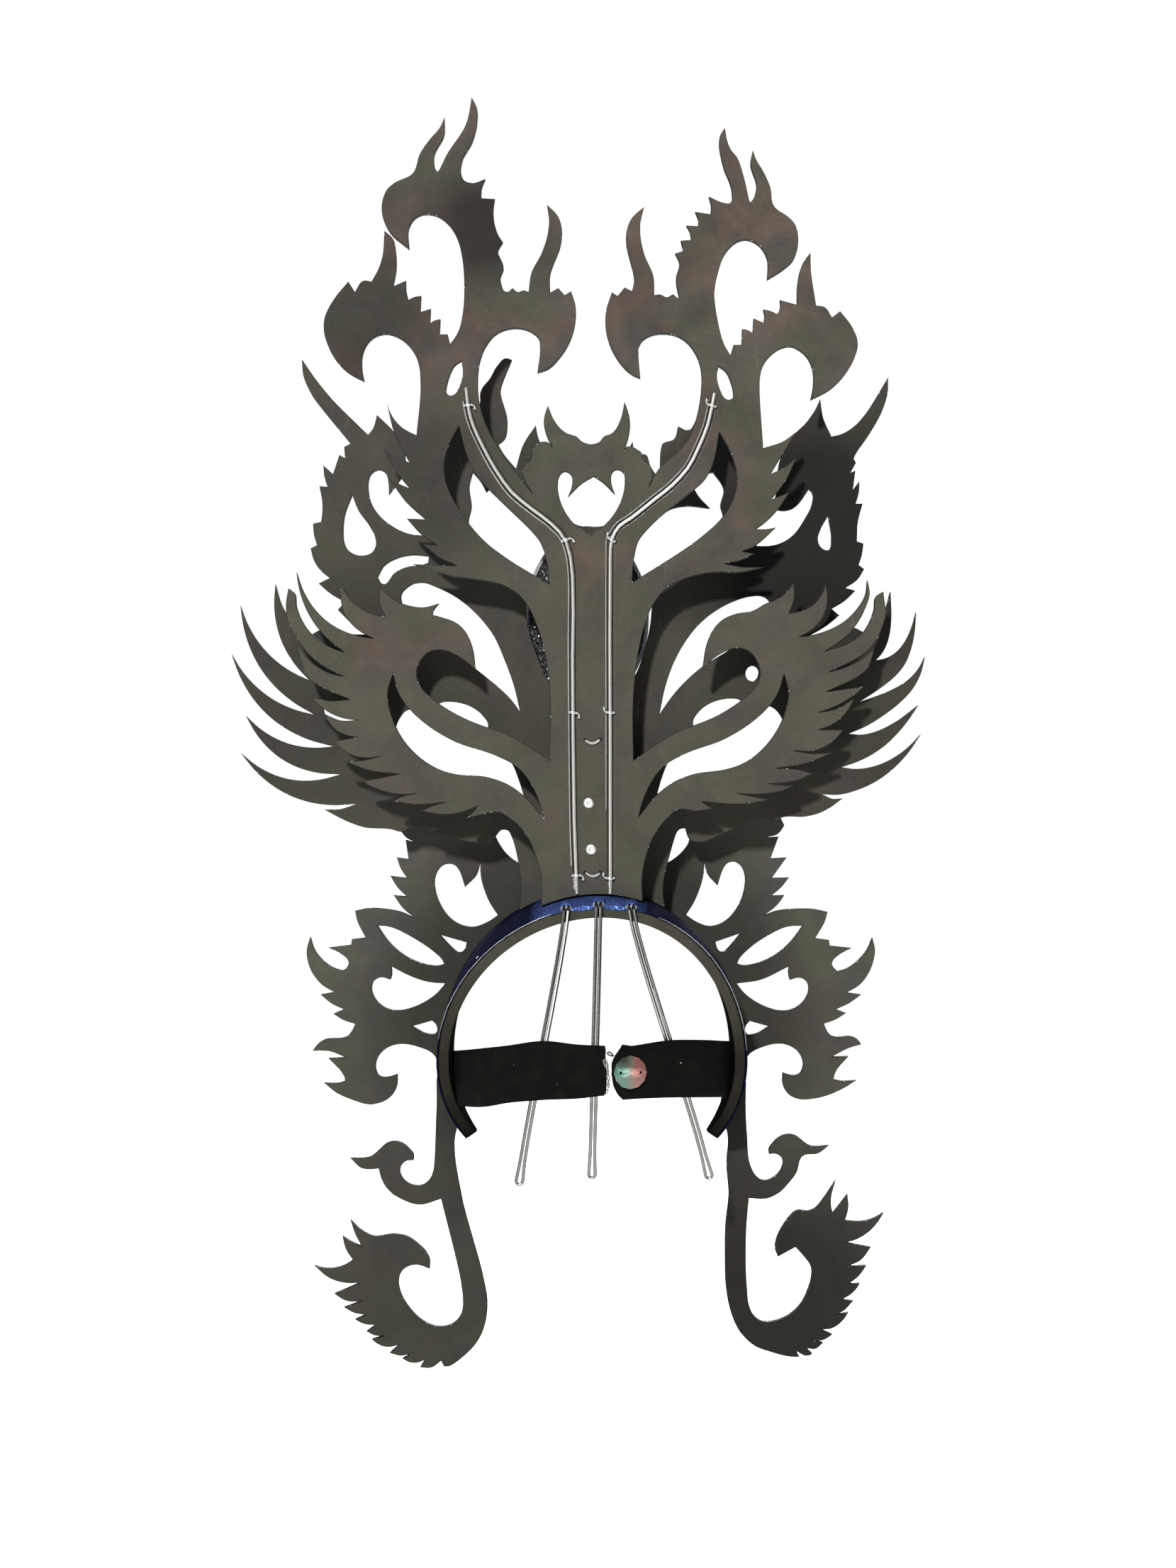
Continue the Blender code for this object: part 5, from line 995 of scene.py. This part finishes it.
ROD_ROUTES = (
    ((1.85, 0.35), (2.2, 10), (2.4, 30), (2.4, 40), (3.2, 44.3), (5, 46.5), (7.5, 48.4), (10, 50.5),
     (12, 53.3), (13.5, 56), (14.8, 58.8), (15.4, 61), (15.7, 63.5)),
    ((-2.3, 0.35), (-2.3, 20), (-2.3, 42), (-2.5, 44.6), (-3.4, 46.2), (-5, 47.3), (-8, 49.7), (-10, 51.3),
     (-12, 53.5), (-13.3, 56), (-14.5, 59), (-15.3, 62.8)),
)
TIE_HEIGHTS = (2.6, 22.8, 44.5, 61.3)
TIE_WIRE = 0.00042
STITCH_HEIGHTS = (2.7, 19.3)
STITCH_OUT = -0.1
STITCH_THREAD = 0.00048
# A line of glue: its rod, the side of it, the gap, the radius, the height where it starts, and which finish.
# A line with the third finish is a near-black strip of painted shadow.
GLUE_LINES = (
    (0, 1, 0.0027, 0.00042, 3.6, 0), (0, 1, 0.0018, 0.00042, 3.0, 2), (0, -1, 0.0015, 0.00036, 2.8, 2),
    (1, 1, 0.0027, 0.00032, 10.6, 0), (1, 1, 0.0016, 0.00034, 2.6, 2), (1, -1, 0.0016, 0.00034, 2.6, 2),
    (1, -1, 0.0024, 0.00024, 2.6, 1),
)
GLUE_TOP = 62
# The lumps at a rod's foot: how far they sit to its side, and their radius
FOOT_LUMPS = ((0.0006, 0.0016), (0.0001, 0.0013))
FOOT_SPAN = (0.45, 2.6)
LUMP_STEPS = 18
# A pop rivet's profile: radius and height over the back panel, round the pit left by its mandrel
RIVET_PROFILE = (
    (0.0003, 0.00055), (0.0008, 0.00050), (0.00085, 0.00020), (0.00112, 0.00018), (0.0012, 0.00098),
    (0.0015, 0.00110), (0.0022, 0.00104), (0.0029, 0.00080), (0.0033, 0.00045), (0.0034, 0.0001),
    (0.0033, -0.0001), (0.0016, -0.0001), (0.0016, -0.0180),
)


def rod_line(route, steps):
    return along([on_back(out, up, SEAT_GAP + ROD_RADIUS) for out, up in route], steps)


def beside_rod(route, side, gap, low, high):
    """A line beside a rod, a gap away on one side (1 is +X), between two heights of the drawing."""
    line = rod_line(route, 24)
    path = []
    for before, point, after in zip(line, line[1:], line[2:]):
        if low < (point.z - FOOT_Z) / BACK_UNIT < high:
            heading = (after - before).normalized()
            across = Vector((heading.z, 0, -heading.x)) * side
            path.append(Vector((point.x, PANEL_BACK_Y, point.z)) + across * gap)
    return path


def rod_glue_beads():
    """Thin smooth lines of glue along the rods, bright ones on the +X side and dull ones close by, and
    near-black strips of painted shadow beside the rods.
    """
    chance = random.Random(5)
    mesh = bmesh.new()
    for rod, side, gap, radius, low, finish in GLUE_LINES:
        path = beside_rod(ROD_ROUTES[rod], side, gap, low, GLUE_TOP)
        drift = 0.0
        radii = []
        for _ in path:
            drift = 0.85 * drift + 0.15 * chance.uniform(-1, 1)
            radii.append(radius * (1 + 0.6 * drift))
        wire(mesh, path, radii, 7, material=finish)
    # The third finish, near black, paints the shadow beside the rods
    piece("rod_glue_beads", facing_out(mesh), (rod_glue, dull_glue, painted_shade_dark))


def foot_glue():
    """The rough lumps of glue that hold the rods' lowest ends."""
    chance = random.Random(17)
    mesh = bmesh.new()
    for route, (shift, wide) in zip(ROD_ROUTES, FOOT_LUMPS):
        line = beside_rod(route, 1, shift, *FOOT_SPAN)
        path = [line[0].lerp(line[-1], step / LUMP_STEPS) for step in range(LUMP_STEPS + 1)]
        radii = [wide * chance.uniform(0.78, 1.15) * min(1.0, 0.45 + 0.2 * min(step, LUMP_STEPS - step))
                 for step in range(LUMP_STEPS + 1)]
        lumps = [point + Vector((chance.uniform(-1, 1) * 0.0002, 0.0010, 0)) for point in path]
        wire(mesh, lumps, radii, 10)
    piece("rod_foot_glue", facing_out(mesh), (foot_lumps,))


def tie_pattern():
    """Two turns of wire over a rod, with their ends twisted together at one side."""
    mesh = bmesh.new()
    over = ROD_RADIUS + TIE_WIRE
    for offset in (-0.00048, 0.00040):
        path = [(over * 1.35 * cos(a), over * sin(a), offset + 0.0002 * cos(a))
                for a in (radians(turn) for turn in range(-60, 241, 15))]
        wire(mesh, path, TIE_WIRE)
    knot = [(-over * 1.45 - 0.0004 * cos(a), 0.0002, 0.0005 * sin(a)) for a in turns(10)]
    wire(mesh, knot, 0.00036, 7, looped=True)
    for strand in (0, pi):
        path = []
        for step in range(41):
            share = step / 40
            turn = strand + share * 2.6 * tau
            out = over * 1.35 + 0.0021 * sin(share * 2.2) + 0.0005 * cos(turn) * share
            up = 0.0034 * share**1.4 + 0.0005 * cos(turn) * (1 - 0.5 * share)
            path.append((out, 0.0001 + 0.0005 * sin(turn), up))
        wire(mesh, path, TIE_WIRE)
    return facing_out(mesh)


def pit_pattern():
    """The dimple where a wire goes into the foam, with its torn rim, coloured near black as painted shade."""
    profile = ((0.0014, -0.0002), (0.0012, 0.00018), (0.0008, 0.00012), (0.0002, 0.00002))
    return shell([[(radius * (1 + 0.18 * sin(3 * a + 1)) * cos(a), depth,
                    radius * (1 + 0.14 * cos(2 * a)) * sin(a)) for a in turns(14)]
                  for radius, depth in profile])


def rod_spots():
    """Where the ties sit: a place and the rod's lean there, left rod first."""
    found = []
    for route in ROD_ROUTES:
        line = rod_line(route, 30)
        for up in TIE_HEIGHTS:
            height = FOOT_Z + up * BACK_UNIT
            index = min(range(1, len(line) - 1), key=lambda one: abs(line[one].z - height))
            heading = line[index + 1] - line[index - 1]
            found.append((line[index], atan2(heading.x, heading.z)))
    return found


def tie_pieces():
    """The ties, with a pit beside each of their ends, beside the stitches' ends and in the rivets, each pit
    coloured near black as painted shade.
    """
    ties, pits = [], []
    for index, (place, lean) in enumerate(rod_spots()):
        turned = pi if index < len(TIE_HEIGHTS) else 0.0
        ties.append((place, (0, lean + turned, 0), 1.0))
        for side in (-1, 1):
            across = Vector((cos(lean), 0, -sin(lean))) * side * 0.0022
            pits.append(((place.x + across.x, PANEL_BACK_Y, place.z + across.z), (0, lean + side, 0), 0.9))
    for up in STITCH_HEIGHTS:
        for side in (-1, 1):
            pits.append((on_back(STITCH_OUT + side * 0.95, up + 0.3), (0, side, 0), 0.9))
    for out, up in RIVET_SPOTS:
        pits.append((on_back(out, up, SEAT_GAP + 0.00045), (0, 1, 0), 0.55))
    copied("rod_ties", tie_pattern(), ties, tie_wire, lean=0.06, size=0.06, seed=4)
    copied("wire_pits", pit_pattern(), pits, painted_shade_dark, size=0.25, seed=6)


def stitch_pattern():
    """Two strands of silver thread twisted into a shallow smile."""
    paths = []
    for strand in (0, pi):
        path = []
        for step in range(61):
            share = step / 30 - 1
            turn = strand + tau * 3 * step / 60
            slack = 1 - 0.6 * share**4
            path.append((0.0044 * share, 0.0009 + 0.00042 * sin(turn) * slack,
                         0.0019 * share**2 + 0.00046 * cos(turn) * slack))
        paths.append(path)
    return wires(paths, STITCH_THREAD)


def rivet_pattern():
    return shell([[(radius * cos(a), SEAT_GAP + high, radius * sin(a)) for a in turns(40)]
                  for radius, high in RIVET_PROFILE])


def fold_pattern(start, end, steps, wider, taller):
    """The cloth round both legs of a prong where it hooks over the edge, from one depth to another."""
    rings = []
    for step in range(steps + 1):
        depth = start + (end - start) * step / steps
        middle = float(np.interp(depth, *zip(*HOOK_LINE)))
        slim = min(1.0, 0.45 + (depth + 0.0095) / 0.006)
        wide = (PRONG_PITCH / 2 + PRONG_WIRE_RADIUS + wider) * (0.8 + 0.2 * slim)
        high = (PRONG_WIRE_RADIUS + taller) * slim
        ring = []
        for turn in turns(20):
            across = copysign(abs(cos(turn)) ** 0.7, cos(turn))
            ring.append((wide * across * (1 + 0.05 * sin(5 * turn)), depth, middle + high * sin(turn)))
        rings.append(ring)
    return shell(rings)


def fold_spots():
    """On the bend of each prong, where it hooks over the cloth."""
    spots = []
    for top, angle in zip(PRONG_TOPS, PRONG_ANGLES):
        seat = arch_point(angle, ARCH_BACK_Y, COVER_OFFSET).z
        place = (top * ARCH_INNER_RADIUS, ARCH_BACK_Y, seat + SEAT_GAP + PRONG_WIRE_RADIUS)
        spots.append((place, (0, 0, 0), 1.0))
    return spots


rod_glue_beads()
foot_glue()
tie_pieces()
stitch_spots = [(on_back(STITCH_OUT, up - 0.15), (0, 0, 0), 1.0) for up in STITCH_HEIGHTS]
copied("centre_stitches", stitch_pattern(), stitch_spots, silver_thread, lean=0.05, size=0.05,
       seed=2)
rivet_spots = [(on_back(out, up), (0, 0, 0), 1.0) for out, up in RIVET_SPOTS]
copied("rivets", rivet_pattern(), rivet_spots, rivet_metal,
       replaces=("rivet_upper", "rivet_lower"))
folds = fold_pattern(start=-0.0085, end=0.0002, steps=8, wider=0.0010, taller=0.0007)
# The pinches are pale as a painted highlight on the prong's bend
pinches = fold_pattern(start=0.0001, end=0.0009, steps=3, wider=0.0012, taller=0.0004)
copied("prong_folds", folds, fold_spots(), blue_cloth)
copied("prong_pinches", pinches, fold_spots(), pinch_highlight_cloth)


# The elastic strap

# Share of the way out to the arch, then middle height and width there in shares of the strap's width
STRAP_ROWS = (
    ((1, -3.50, 1.11), (0.8, -3.42, 1.16), (0.6, -3.31, 1.13), (0.35, -3.21, 1.16), (0.1, -3.22, 1.06),
     (-0.077, -3.20, 0.98)),
    ((-0.134, -3.28, 1.03), (-0.3, -3.24, 1.05), (-0.55, -3.20, 1.13), (-0.8, -3.24, 1.14),
     (-1, -3.31, 1.12)),
)
# How far each cut end goes, as a share of the way out, from the strap's lower edge to its upper one
LEFT_CUT = ((-1, -0.088), (-0.7, -0.102), (-0.3, -0.104), (0.1, -0.100), (0.5, -0.090), (0.8, -0.098),
            (1, -0.090))
RIGHT_CUT = ((-1, -0.221), (-0.8, -0.183), (-0.45, -0.150), (0, -0.136), (0.45, -0.137), (0.75, -0.162),
             (1, -0.212))
STRAP_STEPS = 90
STRAP_COLUMNS = 14
# The share of the half width where the thin selvedge and the cut end's pointed corner begin
SELVEDGE = 0.86
CORNER = 0.85
CORNER_TIP = 0.0016
RIPPLE = 0.00022
CUT_CURL = 0.0009
# The silver thread looped down the left half's cut end: out and up in the back panel's units, size and lean
CHAIN = ((-1.7, -20.0, 1.25, 0.35), (-1.96, -20.9, 0.95, 0.0), (-2.02, -21.7, 0.95, 0.1),
         (-2.04, -22.5, 0.95, -0.1), (-1.86, -23.4, 0.8, -0.45))
# Pale flecks on the strap: out and up in the back panel's units, and size
LINT = ((-11.05, -20.2, 0.8), (9.6, -20.4, 0.35), (4.3, -22.6, 0.3))


def arch_side(side, z):
    """How far out the arch's inner face is on one side (1 is +X) at height z, where the strap's ends are."""
    quarter = pi / 2

    def point(angle):
        return arch_point(quarter - side * (quarter - angle), STRAP_END_Y, 0)

    return abs(point(last_true(-quarter, quarter, lambda angle: point(angle).z < z)).x)


def strap_point(share, z):
    """A point of the strap's middle layer at a share of the way out to the arch, at height z."""
    reach = arch_side(1 if share > 0 else -1, z) - SEAT_GAP - STRAP_CLOTH / 2
    bow = (1 - min(abs(share), 1) ** STRAP_BOW[0]) ** STRAP_BOW[1]
    return Vector((share * reach, STRAP_END_Y + STRAP_BULGE * bow, z))


def strap_facing(share, z):
    """The way that the strap faces at a point, level and outwards."""
    slope = strap_point(min(share + 0.01, 1), z) - strap_point(max(share - 0.01, -1), z)
    return Vector((-slope.y, slope.x, 0)).normalized()


def strap_spot(out, up):
    """The strap's share and height behind a place in the back panel's units."""
    return out * BACK_UNIT / ARCH_INNER_RADIUS, FOOT_Z + up * BACK_UNIT


def between(rows, where):
    """A value read off rows of place and value."""
    return float(np.interp(where, *zip(*sorted(rows))))


def strap_piece(name, node, rows, cut, cut_first, seed):
    """One half of the strap: woven elastic with thin selvedges, a slight ripple and a hand-cut end.

    With cut_first, the rows start at the cut end, and its upper corner is pointed.
    """
    line = along([(share, up * STRAP_WIDTH, wide * STRAP_WIDTH / 2) for share, up, wide in rows], 12)
    heights = [(point.x, point.y) for point in line]
    halves = [(point.x, point.z) for point in line]
    far = rows[-1][0] if cut_first else rows[0][0]
    phase = random.Random(seed).uniform(0, 6)
    columns = [2 * column / STRAP_COLUMNS - 1 for column in range(STRAP_COLUMNS + 1)]
    section = [(1, w) for w in columns] + [(-1, w) for w in columns[::-1]]
    rings, values = [], []
    for step in range(STRAP_STEPS + 1):
        ring = []
        loose = step / STRAP_STEPS
        for layer, w in section:
            start = between(cut, w)
            share = start + (far - start) * loose
            middle, half = between(heights, share), between(halves, share)
            pointed = max(0.0, w - CORNER) / (1 - CORNER) if cut_first else 0.0
            tip = CORNER_TIP * pointed * max(0.0, 1 - loose * 12)
            edge = max(0.0, abs(w) - SELVEDGE) / (1 - SELVEDGE)
            thick = STRAP_CLOTH / 2 * (0.86 - 0.42 * edge**2)
            ripple = RIPPLE * sin(34 * share + phase + 2.2 * w) * (1 - edge)
            curl = CUT_CURL * max(0.0, 1 - loose * 9) ** 2 * w**2
            offset = strap_facing(share, middle) * (layer * thick + ripple + curl)
            ring.append(strap_point(share, middle + w * half + tip) + offset)
            values.append((share * ARCH_INNER_RADIUS, w * half))
        rings.append(ring)
    mesh = bmesh.new()
    layers = [mesh.verts.layers.float.new(way) for way in ("along", "across")]
    corners = [vertex for ring in skinned(mesh, rings) for vertex in ring]
    for vertex, value in zip(corners, values):
        for layer, part in zip(layers, value):
            vertex[layer] = part
    strap = piece(name, facing_out(mesh), (woven_elastic,), (node,))


def fibre_pattern():
    """One loose curved fibre that stands along Z."""
    path = [(0.0007 * (step / 6) ** 2, 0.0003 * sin(step / 2), 0.0034 * step / 6) for step in range(7)]
    return wires([path], [0.00008 * (1 - 0.1 * step) for step in range(7)], 4)


def fray():
    """Loose fibres along both cut ends, pointing out of the weave."""
    chance = random.Random(21)
    spots = []
    for rows, cut, way, count in ((STRAP_ROWS[0], LEFT_CUT, -1, 26), (STRAP_ROWS[1], RIGHT_CUT, 1, 22)):
        line = [(share, up * STRAP_WIDTH) for share, up, _ in rows]
        for _ in range(count):
            w = chance.uniform(-1, 1)
            share = between(cut, w)
            z = between(line, share) + w * STRAP_WIDTH / 2
            place = strap_point(share, z) + strap_facing(share, z) * chance.uniform(-0.5, 0.5) * STRAP_CLOTH
            heading = Vector((way, chance.uniform(-0.5, 0.5), chance.uniform(-0.9, 0.5)))
            spots.append((place, heading.to_track_quat("Z", "Y").to_euler(), chance.uniform(0.3, 0.6)))
    copied("strap_fray", fibre_pattern(), spots, black_fibre, lean=0.2, size=0.2, seed=9)


def loose_loop():
    """A loop of black thread that stands out of the right half's upper corner."""
    corner = strap_point(-0.150, -3.24 * STRAP_WIDTH + 0.010)
    path = []
    for step in range(21):
        a = tau * step / 20
        out = 0.0034 * sin(a / 2) + 0.0005 * sin(a)
        path.append(corner + Vector((out, 0.0004, 0.0022 * sin(a / 2) - 0.0007 * sin(a))))
    piece("loose_loop", wires([path], 0.00042, 6), (black_fibre,))


def link_pattern():
    """One long loop of thread."""
    path = [(0.00065 * cos(a), 0.0002 * sin(2 * a), 0.0021 * sin(a)) for a in turns(20)]
    return wires([path], 0.00046, 7, looped=True)


def thread_loops():
    """The chain of thread loops, each other one turned a little."""
    spots = []
    for index, (out, up, size, lean) in enumerate(CHAIN):
        place = strap_point(*strap_spot(out, up)) + Vector((0, 0.0006, 0))
        spots.append((place, (0, lean, 0.9 * (index % 2)), size))
    copied("thread_loops", link_pattern(), spots, grey_thread, lean=0.15, size=0.05, seed=12)


def lint():
    """The few pale flecks caught on the strap and on the cloth."""
    path = [(0.0006 * cos(step / 2), 0.00015 + 0.00006 * step, 0.0008 * sin(step / 3)) for step in range(6)]
    fleck = wires([path], [0.00012, 0.00022, 0.0003, 0.0003, 0.0002, 0.0001], 6)
    spots = []
    for out, up, size in LINT:
        share, z = strap_spot(out, up)
        spots.append((strap_point(share, z) + strap_facing(share, z) * STRAP_CLOTH / 2, (0, size, 0), size))
    bead = arch_point(radians(41), ARCH_BACK_Y - 0.001, COVER_OFFSET + 0.0004)
    spots.append((bead, (0.4, 0.3, 0), 1.3))
    copied("lint_flecks", fleck, spots, pale_lint)


strap_piece("elastic_left", "strap_left", STRAP_ROWS[0], LEFT_CUT, cut_first=False, seed=1)
strap_piece("elastic_right", "strap_right", STRAP_ROWS[1], RIGHT_CUT, cut_first=True, seed=2)
fray()
loose_loop()
thread_loops()
lint()


# The medallion's loose flakes, and the CAD solids that keep their shape


def medallion_back():
    """The medallion's back face, a little inside its rim, as a mesh to scatter flakes on."""
    low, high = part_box("centre_medallion")
    mesh = bmesh.new()
    centre = (low + high) / 2
    ring = [mesh.verts.new((centre.x + (high.x - centre.x) * 0.97 * cos(a), high.y,
                            centre.z + (high.z - centre.z) * 0.97 * sin(a))) for a in turns(48)]
    face = mesh.faces.new(ring)
    face.normal_update()
    if face.normal.y < 0:
        face.normal_flip()
    return as_mesh("medallion back", mesh)


def dress(node, material):
    """Gives a CAD node its finish."""
    data = nodes[node].data
    data.materials.clear()
    data.materials.append(material)


scattered("medallion_flakes", medallion_back(), silver_flake, density=60000, radius=0.00042,
          lift=0.0002, tilt=0.5, seed=5)
for node in ("spine_rod_left", "spine_rod_right"):
    dress(node, bright_steel)
for node in ("prong_left", "prong_middle", "prong_right"):
    dress(node, prong_steel)
button_low, button_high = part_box("crystal_button")
dress("crystal_button", crystal_finish("aurora crystal", (button_low + button_high) / 2))


# The room, the lights and the camera

FLOOR_REACH = 9.0
CROWN_MIDDLE = (0, 0, 0.1)


def room():
    """A white floor that runs out to a white surround."""
    mesh = bpy.data.meshes.new("floor")
    corners = [(x * FLOOR_REACH, y * FLOOR_REACH, FLOOR_Z) for x, y in ((-1, -1), (1, -1), (1, 1), (-1, 1))]
    mesh.from_pydata(corners, [], [(0, 1, 2, 3)])
    floor_finish = Finish("pale floor", roughness=0.9)
    floor_finish.colour((0.9, 0.9, 0.9))
    mesh.materials.append(floor_finish.material)
    floor = placed("floor", mesh)

    world = bpy.data.worlds.new("studio")
    bpy.context.scene.world = world
    world.use_nodes = True
    world.node_tree.nodes.clear()
    sky = Nodes(world.node_tree)
    seen = sky.node("ShaderNodeLightPath").outputs["Is Camera Ray"]
    lit, shown = (sky.node("ShaderNodeBackground", {"Color": colour, "Strength": strength}).outputs[0]
                  for colour, strength in (((1, 0.96, 0.88, 1), 0.05), ((1, 1, 1, 1), 1.0)))
    choice = sky.node("ShaderNodeMixShader", {0: seen, 1: lit, 2: shown}).outputs[0]
    sky.node("ShaderNodeOutputWorld", {0: choice})


def softbox(name, place, target, size, power):
    """A square studio light aimed at the target."""
    light = bpy.data.lights.new(name, "AREA")
    light.size = size
    light.energy = power
    lamp = placed(name, light)
    lamp.location = place
    lamp.rotation_euler = (Vector(target) - Vector(place)).to_track_quat("-Z", "Y").to_euler()


def camera():
    """Straight behind the crown, at the height of the photograph's middle."""
    data = bpy.data.cameras.new("photo camera")
    data.sensor_width = SENSOR
    data.lens = SENSOR * CAMERA_DISTANCE / FRAME_HEIGHT
    seen = placed("photo camera", data)
    seen.location = (EYE_X, PANEL_BACK_Y + CAMERA_DISTANCE, EYE_Z)
    seen.rotation_euler = (radians(90), 0, radians(180))
    bpy.context.scene.camera = seen


room()
softbox("key", place=(2.6, 10.6, 5.7), target=CROWN_MIDDLE, size=0.8, power=1430)
softbox("front fill", place=(-0.9, -2.4, 1.4), target=CROWN_MIDDLE, size=1.2, power=60)
softbox("floor wash", place=(0, -5.5, 4.0), target=(0, -6.0, FLOOR_Z), size=6.0, power=900)
camera()
bpy.context.scene.view_settings.view_transform = "Standard"
